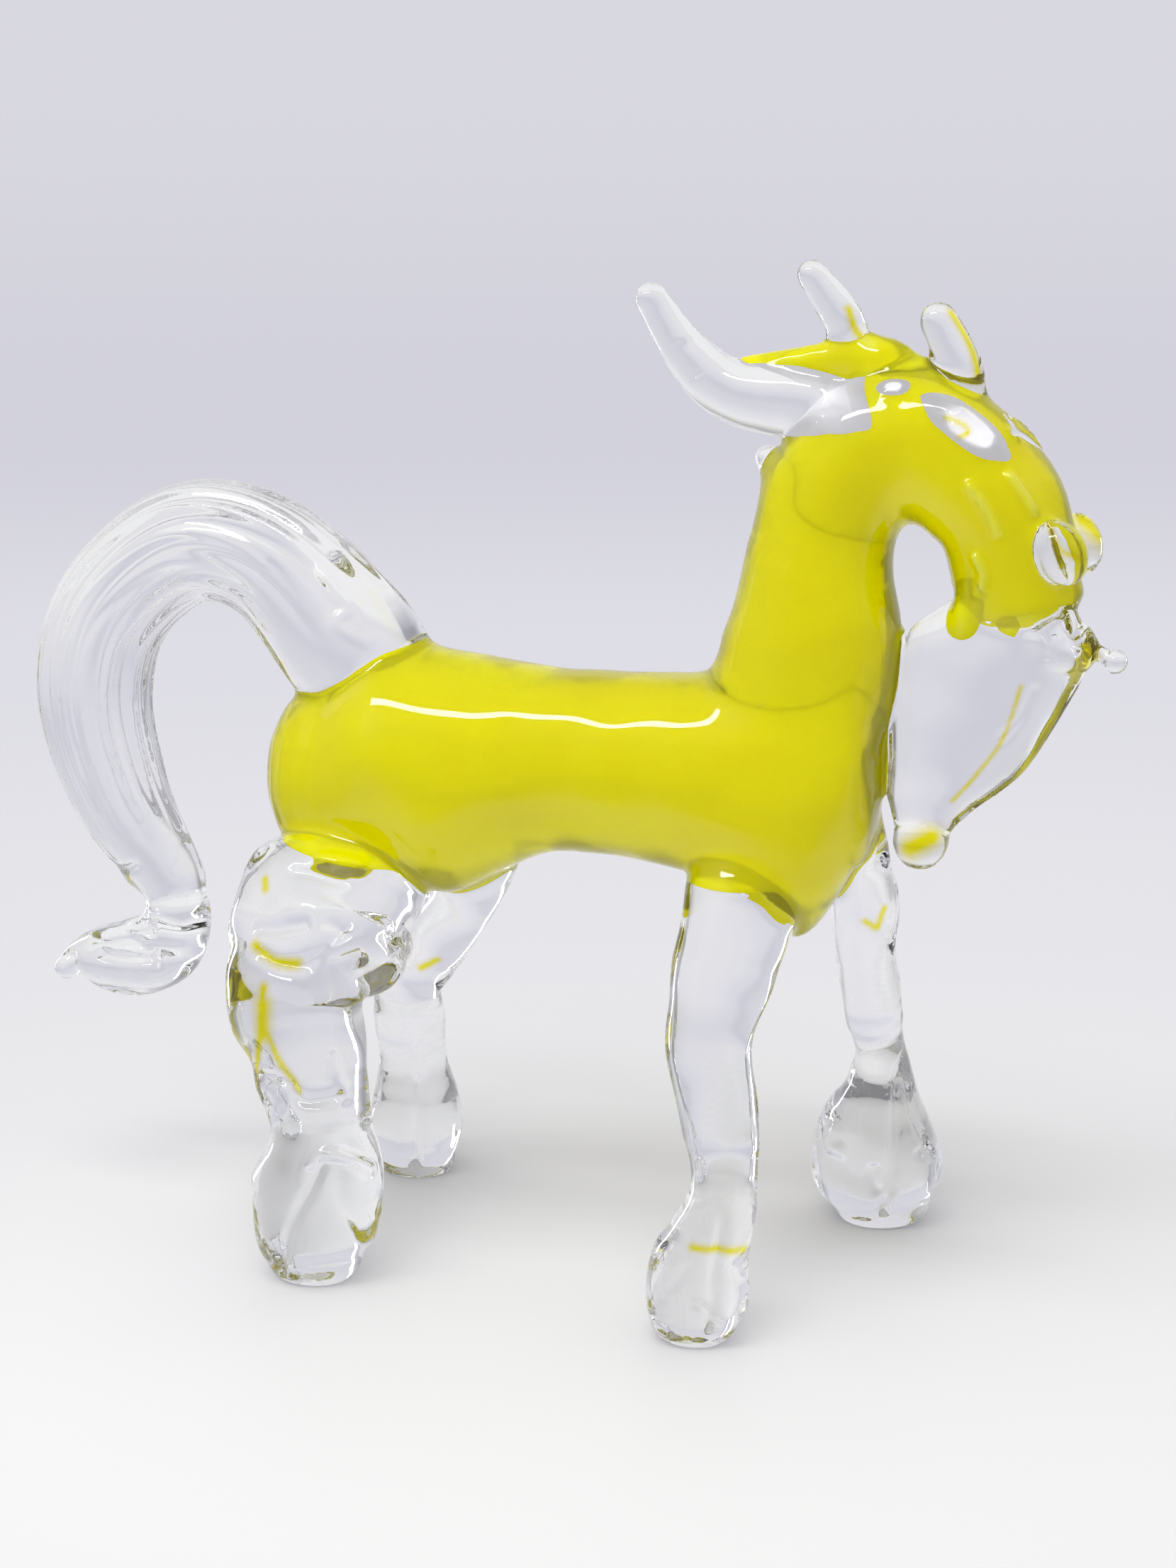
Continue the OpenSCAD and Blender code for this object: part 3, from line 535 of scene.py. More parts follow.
# The thigh hangs over the shank like a folded cap, with a rolled knob under the haunch
rightHindThigh = {
    "lump": 0.4,
    "rods": [
        {
            "sides": 48,
            "startRound": 0.8,
            "endRound": 0.4,
            "stations": [
                (-12.4, -2.8, 26.0, 5.2, 4.3),
                (-14.3, -5.0, 23.1, 6.7, 5.0),
                (-13.4, -7.3, 20.1, 6.2, 4.7),
            ],
        },
        {
            "stations": [
                (-15.4, -5.6, 26.8, 0.9, 0.9),
                (-13.4, -6.6, 27.5, 1.1, 1.1),
                (-11.2, -6.2, 27.4, 0.9, 0.9),
            ],
        },
    ],
    "creases": [
        (0.25, 0.4, [(-15.3, -7.0, 26.4), (-13.9, -7.5, 26.7), (-12.3, -7.5, 26.6), (-11.0, -7.2, 26.8)]),
        (0.45, 0.5, [(-17.3, -9.5, 23.4), (-15.7, -10, 23.7), (-13.8, -10, 24.1), (-12.7, -10, 24.4)]),
        (0.5, 0.5, [(-12.4, -10, 24.5), (-10.6, -10, 24.2), (-12.0, -10.5, 22.3), (-13.3, -10.5, 21.6),
                    (-15.2, -10.5, 21.6), (-16.6, -10, 22.3)]),
        (0.45, 0.45, [(-7.0, -8, 24.2), (-6.4, -7.6, 22.8), (-5.9, -7, 24.2)]),
        (0.6, 0.7, [(-11.5, -10, 21.3), (-10.1, -10, 21.7), (-8.8, -9.5, 22.1)]),
    ],
    "streaksAndGlints": [
        (0.5, [(-16.6, -10, 22.3), (-15.2, -10.5, 21.6), (-13.6, -10.5, 21.6)]),
        (0.4, [(-16.4, -6.0, 25.4), (-16.2, -6.0, 24.8)]),
    ],
}
addPiece("right_hind_thigh", rightHindThigh)

rightHindShank = {
    "family": "rightHind",
    "lump": 0.25,
    "stations": [
        (-15.7, -7.6, 20.4, 4.9, 3.7),
        (-14.8, -8.5, 17.9, 4.8, 4.1),
        (-13.4, -9.5, 15.3, 4.0, 3.9),
        (-12.3, -10.8, 12.6, 3.8, 3.6),
        (-11.0, -11.7, 9.2, 3.4, 3.3),
    ],
    "creases": [
        (0.4, 0.4, [(-15.2, -12.5, 14.2), (-13.1, -14, 14.4), (-11.4, -14, 13.2), (-8.6, -13, 13.8)]),
        (-0.3, 0.4, [(-10.0, -12.5, 16.6), (-9.4, -12.8, 14.5), (-8.7, -13, 12.9)]),
    ],
    "streaksAndGlints": [
        (0.9, [(-15.2, -12, 18.9), (-15.0, -12, 17.0)]),
        (0.5, [(-15.4, -12, 20.1), (-15.2, -12, 17.4), (-15.4, -12.2, 13.6)]),
        (0.35, [(-14.8, -12.4, 17.3), (-13.7, -12.8, 15.5), (-12.1, -13.2, 13.7)]),
    ],
}
addPiece("right_hind_shank", rightHindShank)

leftHindThigh = {
    "lump": 0.2,
    "stations": [(-4.6, 1.8, 28.1, 2.7, 2.7), (-8.1, 4.0, 22.2, 2.5, 2.5), (-13.3, 6.8, 15.9, 2.6, 2.6)],
    # painted glint: this short yellow line stands in for a yellow glint on the thigh
    "streaksAndGlints": [(0.4, [(-10.6, 3.4, 17.9), (-9.2, 3.0, 18.7)])],
}
addPiece("left_hind_thigh", leftHindThigh)

leftHindShank = {
    "family": "leftHind",
    "lump": 0.2,
    "stations": [(-13.3, 6.8, 15.9, 2.3, 2.3), (-13.7, 7.9, 12.1, 2.7, 2.7), (-13.5, 8.9, 7.3, 2.6, 2.6)],
}
addPiece("left_hind_shank", leftHindShank)

# Hooves are drops of glass nipped with tongs, which leaves a cleft down two sides
hooves = {
    "right_fore_hoof": {
        "family": "rightFore",
        "clefts": (-72, -50),
        "stations": [
            (17.2, -11.9, 9.8, 2.2, 2.2),
            (16.5, -12.1, 7.2, 2.9, 2.8),
            (15.7, -12.4, 4.8, 3.4, 2.9),
            (15.4, -12.5, 2.6, 3.4, 2.8),
            (15.3, -12.5, 1.2, 2.9, 2.6),
        ],
        "creases": [
            (0.3, 0.3, [(15.8, -15.2, 6.0), (15.3, -15.2, 5.2), (14.5, -15.2, 4.0)]),
            (0.3, 0.3, [(15.8, -15.2, 3.6), (16.9, -15, 2.9), (17.2, -14.8, 1.4)]),
        ],
        "streaksAndGlints": [(0.35, [(15.9, -14.8, 7.0), (17.2, -14.4, 6.9), (18.9, -13, 6.6)])],
    },
    "left_fore_hoof": {
        "family": "leftFore",
        "clefts": (-45, -78),
        "stations": [
            (22.3, 10.2, 13.2, 1.9, 1.9),
            (22.0, 10.7, 10.2, 2.7, 2.6),
            (21.6, 11.1, 7.2, 4.0, 3.7),
            (21.5, 11.5, 4.6, 4.8, 3.8),
            (21.7, 11.6, 2.6, 4.5, 3.7),
            (21.9, 11.6, 1.3, 3.6, 3.2),
        ],
        "creases": [
            (0.35, 0.3, [(23.9, 9.4, 14.0), (25.0, 8.8, 10.2), (26.0, 9.0, 8.1), (26.5, 9.6, 6.4)]),
            (0.35, 0.3, [(25.2, 8.4, 5.8), (26.2, 9.4, 6.4), (26.6, 10.4, 5.6)]),
            (0.3, 0.3, [(22.4, 7.6, 5.4), (22.2, 7.6, 4.2), (22.6, 7.8, 3.0)]),
            (-0.3, 0.5, [(19.7, 8.4, 7.9), (19.0, 8.4, 6.3), (20.3, 7.8, 6.1)]),
        ],
    },
    "right_hind_hoof": {
        "family": "rightHind",
        "clefts": (-70, -112),
        "stations": [
            (-11.0, -11.7, 10.4, 3.5, 3.4),
            (-11.3, -11.8, 7.8, 4.6, 3.6),
            (-11.9, -11.8, 5.2, 4.7, 3.6),
            (-12.1, -11.8, 2.8, 4.2, 3.5),
            (-12.0, -11.8, 1.3, 3.3, 3.0),
        ],
        "creases": [
            (-0.5, 0.4, [(-10.9, -15.2, 8.6), (-10.1, -15, 9.8), (-8.9, -14.6, 9.9), (-7.8, -13.8, 9.3),
                         (-6.9, -12.6, 8.0)]),
        ],
    },
    "left_hind_hoof": {
        "family": "leftHind",
        "clefts": (-60, -70),
        "stations": [
            (-13.5, 8.8, 8.8, 2.8, 2.8),
            (-13.7, 9.0, 6.2, 3.3, 3.2),
            (-14.0, 9.4, 3.8, 3.7, 3.5),
            (-14.0, 9.4, 2.2, 3.5, 3.3),
            (-14.0, 9.4, 1.0, 3.0, 2.9),
        ],
    },
}
anyHoof = {"lump": 0.3, "startRound": 0.4, "endRound": 0.7}
cleft = {"depth": 0.5, "farDepth": 0.1, "width": 0.4}


def cleftLines(hoof):
    # one line down a side of the hoof and its twin on the far side
    stations = hoof["stations"]
    start, end = hoof["clefts"]
    lines = []
    for opposite, depth in ((0, cleft["depth"]), (180, cleft["farDepth"])):
        points = []
        for i, (x, y, z, rise, across) in enumerate(stations):
            turn = math.radians(start + (end - start) * i / (len(stations) - 1) + opposite)
            points.append((x + rise * math.cos(turn), y + across * math.sin(turn), z))
        lines.append((depth, cleft["width"], points))
    return lines


for name, hoof in hooves.items():
    creases = cleftLines(hoof) + hoof.get("creases", [])
    addPiece(name, {**anyHoof, **hoof, "creases": creases})
names = list(forms)
print("forms pulled:", len(names))


def fuseForms():
    # one closed skin over all the forms
    bm = bmesh.new()
    for form in forms.values():
        addForm(bm, form)
    mesh = bpy.data.meshes.new("melt")
    bm.to_mesh(mesh)
    bm.free()
    lump = bpy.data.objects.new("melt", mesh)
    scene.collection.objects.link(lump)
    remesh = lump.modifiers.new("melt", "REMESH")
    remesh.mode = "VOXEL"
    remesh.voxel_size = melt["voxel"]
    fused = lump.evaluated_get(bpy.context.evaluated_depsgraph_get()).to_mesh()
    bm = bmesh.new()
    bm.from_mesh(fused)
    bpy.data.objects.remove(lump)
    bpy.data.meshes.remove(mesh)
    return bm


def findPatches(bm, alike):
    # groups of faces that hang together across alike neighbours, smallest first
    seen = set()
    patches = []
    for face in bm.faces:
        if face in seen:
            continue
        seen.add(face)
        patch, queue = [], [face]
        while queue:
            at = queue.pop()
            patch.append(at)
            for other in (o for edge in at.edges for o in edge.link_faces):
                if other not in seen and alike(face, other):
                    seen.add(other)
                    queue.append(other)
        patches.append(patch)
    return sorted(patches, key=len)


skin = fuseForms()
pockets = findPatches(skin, lambda a, b: True)[:-1]  # air shut in between the pieces
bmesh.ops.delete(skin, geom=[f for pocket in pockets for f in pocket], context="FACES")
pieceOf = skin.faces.layers.int.new("piece")
soleOf = skin.faces.layers.int.new("sole")
streakAndGlintOf = skin.verts.layers.float.new("streakAndGlint")
skin.verts.index_update()
skinVerts = list(skin.verts)
print("fused skin:", len(skin.faces), "faces,", len(pockets), "pockets closed")


def gapsToForms(reach):
    # how far each point of the skin is from each form, up to reach
    points = np.array([v.co for v in skinVerts])
    gaps = np.full((len(points), len(names)), 2 * reach)
    for column, name in enumerate(names):
        tree = BVHTree.FromBMesh(forms[name])
        corners = np.array([v.co for v in forms[name].verts])
        low, high = corners.min(axis=0) - reach, corners.max(axis=0) + reach
        for row in np.nonzero(((points > low) & (points < high)).all(axis=1))[0]:
            found = tree.find_nearest(points[row], reach)
            if found[3] is not None:
                gaps[row, column] = found[3]
    return gaps


def flow(chosen, rounds):
    verts = [skinVerts[row] for row in np.nonzero(chosen)[0]]
    for i in range(rounds):
        bmesh.ops.smooth_vert(skin, verts=verts, factor=melt["flowStep"],
                              use_axis_x=True, use_axis_y=True, use_axis_z=True)


gaps = gapsToForms(melt["blendReach"])
nearest = np.argsort(gaps, axis=1)[:, :2]
toSecond = np.take_along_axis(gaps, nearest, axis=1)[:, 1]
families = list({looks[name]["family"]: None for name in names})
familyOf = np.array([families.index(looks[name]["family"]) for name in names])
related = familyOf[nearest[:, 0]] == familyOf[nearest[:, 1]]
flow(related & (toSecond < melt["blendReach"]), melt["blendRounds"])
flow(toSecond < melt["joinReach"], melt["joinRounds"])
flow(np.ones(len(skinVerts), dtype=bool), melt["skinRounds"])
print("joins melted")

# Each point goes to the nearest form, with the lines between them evened out
edgeEnds = np.array([[v.index for v in e.verts] for e in skin.edges])
growth = np.array([looks[name]["grow"] for name in names])
owner = (gaps - growth).argmin(axis=1)

# Where the line between pieces lies elsewhere than their forms meet: a point of each cut and the side taken
claims = [
    {"from": ["right_fore_leg"], "to": "torso", "cuts": [((15, 0, 28.1), (0, 0, 1))]},
    {"from": ["right_hind_thigh"], "to": "torso", "cuts": [((-14, 0, 28.2), (0.2, 0, 1))]},
    {"from": ["head"], "to": "beard", "cuts": [((31, 0, 46.0), (0.25, 0, -1))]},
    {
        "from": ["head", "neck"],
        "to": "mane_lock",
        "cuts": [((16.4, 0, 57.0), (-0.1, 0, 1)), ((23.9, 0, 57.8), (-2.4, 0, -1.1))],
    },
]
points = np.array([v.co for v in skinVerts])
for claim in claims:
    taken = np.isin(owner, [names.index(name) for name in claim["from"]])
    for spot, side in claim["cuts"]:
        taken &= (points - np.array(spot)) @ np.array(side) > 0
    owner[taken] = names.index(claim["to"])
share = np.eye(len(names), dtype=np.float32)[owner]
for i in range(melt["shareRounds"]):
    spread = share.copy()
    np.add.at(spread, edgeEnds[:, 0], share[edgeEnds[:, 1]])
    np.add.at(spread, edgeEnds[:, 1], share[edgeEnds[:, 0]])
    share = spread / spread.sum(axis=1, keepdims=True)

# How creases and streaks are drawn: the reaches and the core are in widths of the line
lineWork = {
    "steps": 16,            # spots from one given point to the next
    "creaseReach": 2.5,
    "creaseFade": 0.15,     # share of its length over which a crease fades at each end
    "streakCore": 0.3,      # full colour up to here
    "streakReach": 1.5,     # and none from here on
}


def lineOnSkin(tree, line, reach):
    # points of the skin near a line drawn on it: each one's row, gap and place along the line
    spots = [tree.find_nearest(Vector(spot))[0] for spot in smoothRows(line, lineWork["steps"])]
    track = kdtree.KDTree(len(spots))
    for i, spot in enumerate(spots):
        track.insert(spot, i)
    track.balance()
    corners = np.array(spots)
    low, high = corners.min(axis=0) - reach, corners.max(axis=0) + reach
    found = []
    for row in np.nonzero(((points > low) & (points < high)).all(axis=1))[0]:
        spot, i, gap = track.find(points[row])
        if gap < reach:
            found.append((row, gap, i / (len(spots) - 1)))
    return found


# Lumps, creases and streaks that the maker's tongs and torch left, and the streaks that are painted glints
skin.normal_update()
lumps = share @ np.array([looks[name]["lump"] for name in names])
for row in np.nonzero(lumps > melt["lumpLeast"])[0]:
    vert = skinVerts[row]
    vert.co += vert.normal * lumps[row] * noise.noise(vert.co / melt["lumpSize"])
skin.normal_update()
points = np.array([v.co for v in skinVerts])
skinTree = BVHTree.FromBMesh(skin)
fade = lineWork["creaseFade"]
for name in names:
    for depth, width, line in looks[name]["creases"]:
        for row, gap, along in lineOnSkin(skinTree, line, lineWork["creaseReach"] * width):
            held = ease(along, 0.0, fade) * (1 - ease(along, 1 - fade, 1.0))
            skinVerts[row].co -= skinVerts[row].normal * depth * held * math.exp(-(gap / width) ** 2)
    for width, line in looks[name]["streaksAndGlints"]:
        core, reach = lineWork["streakCore"] * width, lineWork["streakReach"] * width
        for row, gap, along in lineOnSkin(skinTree, line, reach):
            vert = skinVerts[row]
            vert[streakAndGlintOf] = max(vert[streakAndGlintOf], 1 - ease(gap, core, reach))
flow(np.ones(len(skinVerts), dtype=bool), melt["lineRounds"])
print("lumps, creases and streaks drawn")

for face in skin.faces:
    face[pieceOf] = int(share[[v.index for v in face.verts]].sum(axis=0).argmax())


def dropIslands():
    # a stray patch goes to the piece round it
    kept = {}
    patches = findPatches(skin, lambda a, b: a[pieceOf] == b[pieceOf])
    for patch in reversed(patches):
        number = patch[0][pieceOf]
        kept[number] = kept.get(number, 0) + 1
        if kept[number] <= looks[names[number]]["patches"]:
            continue
        around = [o[pieceOf] for f in patch for e in f.edges for o in e.link_faces if o[pieceOf] != number]
        for face in patch:
            face[pieceOf] = max(set(around), key=around.count)


dropIslands()


def smoothSeams():
    # each point of a seam moves to the middle of itself and its two neighbours along it
    seams = {}
    for edge in skin.edges:
        faces = edge.link_faces
        if len(faces) == 2 and faces[0][pieceOf] != faces[1][pieceOf]:
            for vert, other in (edge.verts, reversed(edge.verts)):
                seams.setdefault(vert, []).append(other)
    for i in range(melt["seamRounds"]):
        moved = {v: (v.co + ends[0].co + ends[1].co) / 3 for v, ends in seams.items() if len(ends) == 2}
        for vert, spot in moved.items():
            vert.co = spot


smoothSeams()

# Soles are pressed flat on the table
bmesh.ops.bisect_plane(skin, geom=skin.verts[:] + skin.edges[:] + skin.faces[:], plane_co=(0, 0, 0),
                       plane_no=(0, 0, -1), clear_outer=True)
soles = bmesh.ops.holes_fill(skin, edges=[e for e in skin.edges if e.is_boundary], sides=0)["faces"]
for sole in soles:
    sole[pieceOf] = next(o[pieceOf] for e in sole.edges for o in e.link_faces if o != sole)
    sole[soleOf] = 1
    for edge in sole.edges:
        edge.smooth = False
skin.normal_update()
print("soles pressed:", len(soles))


# Slow clouds in the melt and the faint ripples of a hand-drawn skin
glassRipple = {
    "inputs": {"Cloud Scale": 110.0, "Ripple Scale": 300.0, "Haze": 0.02},
    "cloudDetail": 2,
    "cloudSwirl": 0.6,
    "rippleDetail": 1,
}


def rippleGroup():
    group = bpy.data.node_groups.new("glassRipple", "ShaderNodeTree")
    sockets = group.interface
    for name, start in glassRipple["inputs"].items():
        sockets.new_socket(name, in_out="INPUT", socket_type="NodeSocketFloat").default_value = start
    for name in ("Cloud", "Ripple", "Roughness"):
        sockets.new_socket(name, in_out="OUTPUT", socket_type="NodeSocketFloat")
    nodes, links = group.nodes, group.links
    start = nodes.new("NodeGroupInput")
    end = nodes.new("NodeGroupOutput")
    place = nodes.new("ShaderNodeTexCoord")
    cloud = nodes.new("ShaderNodeTexNoise")
    cloud.inputs["Detail"].default_value = glassRipple["cloudDetail"]
    cloud.inputs["Distortion"].default_value = glassRipple["cloudSwirl"]
    ripple = nodes.new("ShaderNodeTexNoise")
    ripple.inputs["Detail"].default_value = glassRipple["rippleDetail"]
    haze = nodes.new("ShaderNodeMath")
    haze.operation = "MULTIPLY"
    links.new(place.outputs["Object"], cloud.inputs["Vector"])
    links.new(place.outputs["Object"], ripple.inputs["Vector"])
    links.new(start.outputs["Cloud Scale"], cloud.inputs["Scale"])
    links.new(start.outputs["Ripple Scale"], ripple.inputs["Scale"])
    links.new(ripple.outputs["Fac"], haze.inputs[0])
    links.new(start.outputs["Haze"], haze.inputs[1])
    links.new(cloud.outputs["Fac"], end.inputs["Cloud"])
    links.new(ripple.outputs["Fac"], end.inputs["Ripple"])
    links.new(haze.outputs["Value"], end.inputs["Roughness"])
    return group


def newMaterial(name):
    material = bpy.data.materials.new(name)
    material.use_nodes = True
    return material, material.node_tree.nodes, material.node_tree.links


# What all the glass shares
anyGlass = {
    "cloudEdges": (0.3, 0.7),           # where the clouds turn from deep to tint
    "rippleStrength": 0.5,
    "milkSpread": (1.0, 0.9, 0.3),      # how far red, green and blue travel in the milk
    "ior": 1.5,
}


def glassMaterial(name, glass, ripples):
    material, nodes, links = newMaterial(name)
    nodes.clear()
    surface = nodes.new("ShaderNodeGroup")
    surface.node_tree = ripples
    surface.inputs["Cloud Scale"].default_value = glass["cloud"]
    surface.inputs["Ripple Scale"].default_value = glass["ripple"]
    surface.inputs["Haze"].default_value = glass["haze"]
    ramp = nodes.new("ShaderNodeValToRGB")
    for stop, edge, tone in zip(ramp.color_ramp.elements, anyGlass["cloudEdges"], ("deep", "tint")):
        stop.position = edge
        stop.color = (*glass[tone], 1)
    links.new(surface.outputs["Cloud"], ramp.inputs["Fac"])
    streakAndGlint = nodes.new("ShaderNodeAttribute")
    streakAndGlint.attribute_name = "streakAndGlint"
    colour = nodes.new("ShaderNodeMix")
    colour.data_type = "RGBA"
    colour.inputs["B"].default_value = (*glass["streakAndGlint"], 1)
    links.new(streakAndGlint.outputs["Fac"], colour.inputs["Factor"])
    links.new(ramp.outputs["Color"], colour.inputs["A"])
    bump = nodes.new("ShaderNodeBump")
    bump.inputs["Strength"].default_value = anyGlass["rippleStrength"]
    bump.inputs["Distance"].default_value = glass["rippleDepth"] * millimetre
    links.new(surface.outputs["Ripple"], bump.inputs["Height"])
    body = nodes.new("ShaderNodeBsdfPrincipled")
    body.inputs["Transmission Weight"].default_value = glass["clearness"]
    body.inputs["Subsurface Weight"].default_value = glass["milk"]
    body.inputs["Subsurface Radius"].default_value = anyGlass["milkSpread"]
    body.inputs["Subsurface Scale"].default_value = glass["milkDepth"] * millimetre
    body.inputs["IOR"].default_value = anyGlass["ior"]
    links.new(colour.outputs["Result"], body.inputs["Base Color"])
    links.new(surface.outputs["Roughness"], body.inputs["Roughness"])
    links.new(bump.outputs["Normal"], body.inputs["Normal"])
    through = nodes.new("ShaderNodeBsdfTransparent")    # lamplight goes straight through, dimmed
    through.inputs["Color"].default_value = (*glass["shade"], 1)
    path = nodes.new("ShaderNodeLightPath")
    mix = nodes.new("ShaderNodeMixShader")
    out = nodes.new("ShaderNodeOutputMaterial")
    links.new(path.outputs["Is Shadow Ray"], mix.inputs["Fac"])
    links.new(body.outputs["BSDF"], mix.inputs[1])
    links.new(through.outputs["BSDF"], mix.inputs[2])
    links.new(mix.outputs["Shader"], out.inputs["Surface"])
    return material


def seamMaterial():
    # inside the fused glass one piece runs into the next with nothing to be seen
    material, nodes, _ = newMaterial("fusedSeam")
    nodes["Principled BSDF"].inputs["Alpha"].default_value = 0.0
    return material


# Pale frosted bed under the clear glass that lies on the head; it glows with painted light, as if daylight
# came through the head
bed = {
    "dark": (0.78, 0.77, 0.80),
    "light": (0.94, 0.93, 0.95),
    "paintedGlow": 0.6,            # painted light: the bed glows as if daylight came through the head
    "roughness": 0.6,
}


def paleMaterial(ripples):
    material, nodes, links = newMaterial("paleBed")
    surface = nodes.new("ShaderNodeGroup")
    surface.node_tree = ripples
    ramp = nodes.new("ShaderNodeValToRGB")
    ramp.color_ramp.elements[0].color = (*bed["dark"], 1)
    ramp.color_ramp.elements[1].color = (*bed["light"], 1)
    links.new(surface.outputs["Ripple"], ramp.inputs["Fac"])
    ground = nodes["Principled BSDF"]
    links.new(ramp.outputs["Color"], ground.inputs["Base Color"])
    # painted light: the bed glows in its own colour, though it is no lamp
    links.new(ramp.outputs["Color"], ground.inputs["Emission Color"])
    ground.inputs["Emission Strength"].default_value = bed["paintedGlow"]
    ground.inputs["Roughness"].default_value = bed["roughness"]
    return material


glasses = {
    "yellow": {
        # the yellow glass's streak colour is a painted highlight: the paler yellow of the face's glint
        # lines
        "tint": (1.0, 0.90, 0.0), "deep": (0.97, 0.84, 0.0), "streakAndGlint": (1.0, 1.0, 0.15),
        "shade": (0.55, 0.54, 0.50),
        "cloud": 110, "ripple": 260, "rippleDepth": 0.03, "haze": 0.02,
        "clearness": 0.6, "milk": 1.0, "milkDepth": 1.2,
    },
    "clear": {
        "tint": (0.98, 0.98, 0.99), "deep": (0.95, 0.96, 0.97), "streakAndGlint": (0.88, 0.75, 0.0),
        "shade": (0.78, 0.78, 0.80),
        "cloud": 90, "ripple": 320, "rippleDepth": 0.03, "haze": 0.01,
        "clearness": 1.0, "milk": 0.0, "milkDepth": 1.0,
    },
}
soleHaze = 1.2      # the board frosts the soles
ripples = rippleGroup()
materials = {name: glassMaterial(name + "Glass", glass, ripples) for name, glass in glasses.items()}
seam = seamMaterial()
soleGlass = glassMaterial("soleGlass", {**glasses["clear"], "haze": soleHaze}, ripples)
paleBed = paleMaterial(ripples)
print("glass mixed")

# The pieces keep the whole skin's normals, so that the light runs on over the cuts
matchDigits = 4     # decimals of a millimetre by which a point is known again
skinNormals = {v.co.to_tuple(matchDigits): v.normal.copy() for v in skin.verts}
slots = {"skin": 0, "cut": 1, "sole": 2}


def cutSkin():
    # the skin comes apart by the number of its faces' slot
    for face in skin.faces:
        face.material_index = face[pieceOf]
        face.smooth = True
    mesh = bpy.data.meshes.new("skin")
    skin.to_mesh(mesh)
    for name in names:
        mesh.materials.append(None)
    whole = bpy.data.objects.new("skin", mesh)
    scene.collection.objects.link(whole)
    bpy.ops.object.select_all(action="DESELECT")
    whole.select_set(True)
    bpy.context.view_layer.objects.active = whole
    bpy.ops.object.mode_set(mode="EDIT")
    bpy.ops.mesh.separate(type="MATERIAL")
    bpy.ops.object.mode_set(mode="OBJECT")
    return {names[o.data.attributes["piece"].data[0].value]: o for o in bpy.context.selected_objects}


def finishPiece(name, piece):
    part = bmesh.new()
    part.from_mesh(piece.data)
    pressed = part.faces.layers.int["sole"]
    for face in part.faces:
        face.material_index = slots["sole"] if face[pressed] else slots["skin"]
    rims = [e for e in part.edges if e.is_boundary]
    caps = bmesh.ops.holes_fill(part, edges=rims, sides=0)["faces"]
    fans = bmesh.ops.poke(part, faces=caps)["faces"]
    for fan in fans:
        fan.material_index = slots["cut"]
    for edge in rims:
        edge.smooth = False
    normals = [skinNormals.get(v.co.to_tuple(matchDigits), v.normal) for v in part.verts]
    bmesh.ops.scale(part, vec=(millimetre,) * 3, verts=part.verts)
    mesh = bpy.data.meshes.new(name)
    part.to_mesh(mesh)
    part.free()
    mesh.materials.append(materials[looks[name]["glass"]])
    mesh.materials.append(paleBed if looks[name]["pale"] else seam)
    if name in hooves:
        mesh.materials.append(soleGlass)
    mesh.normals_split_custom_set_from_vertices(normals)
    piece.data = mesh
    piece.name = "glass_" + name
    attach(piece, "root")
    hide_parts(name)
    if looks[name]["glass"] == "clear" and looks[name]["edgeLit"]:
        edgeLitPieces.objects.link(piece)


edgeLitPieces = bpy.data.collections.new("edgeLitPieces")
pieces = cutSkin()
skin.free()
for name, piece in pieces.items():
    finishPiece(name, piece)
print("pieces cut:", len(pieces), "with", sum(len(p.data.polygons) for p in pieces.values()), "faces")


def softStep(tree, value, edges, ends):
    # the first end before the first edge, the second end after the second edge
    step = tree.nodes.new("ShaderNodeMapRange")
    step.interpolation_type = "SMOOTHSTEP"
    for socket, number in zip(("From Min", "From Max", "To Min", "To Max"), (*edges, *ends)):
        step.inputs[socket].default_value = number
    tree.links.new(value, step.inputs["Value"])
    return step.outputs["Result"]


# Pale floor under the hooves, which runs out into the backdrop; from here on sizes are in metres
floor = {
    "radius": 0.09,
    "segments": 96,
    "below": 0.00005,
    "paper": (0.87, 0.87, 0.87),
    "roughness": 0.5,
    "gloss": 0.3,
    "fade": (0.026, 0.07),  # solid up to here, gone from there on
}


def layFloor():
    bm = bmesh.new()
    bmesh.ops.create_circle(bm, cap_ends=True, segments=floor["segments"], radius=floor["radius"])
    bmesh.ops.translate(bm, vec=(0, 0, -floor["below"]), verts=bm.verts)
    mesh = bpy.data.meshes.new("floor")
    bm.to_mesh(mesh)
    bm.free()
    material, nodes, links = newMaterial("floorPaper")
    paper = nodes["Principled BSDF"]
    paper.inputs["Base Color"].default_value = (*floor["paper"], 1)
    paper.inputs["Roughness"].default_value = floor["roughness"]
    paper.inputs["Specular IOR Level"].default_value = floor["gloss"]
    place = nodes.new("ShaderNodeTexCoord")
    away = nodes.new("ShaderNodeVectorMath")
    away.operation = "LENGTH"
    links.new(place.outputs["Object"], away.inputs[0])
    shown = softStep(material.node_tree, away.outputs["Value"], floor["fade"], (1.0, 0.0))
    links.new(shown, paper.inputs["Alpha"])
    mesh.materials.append(material)
    ground = bpy.data.objects.new("floor", mesh)
    scene.collection.objects.link(ground)


layFloor()

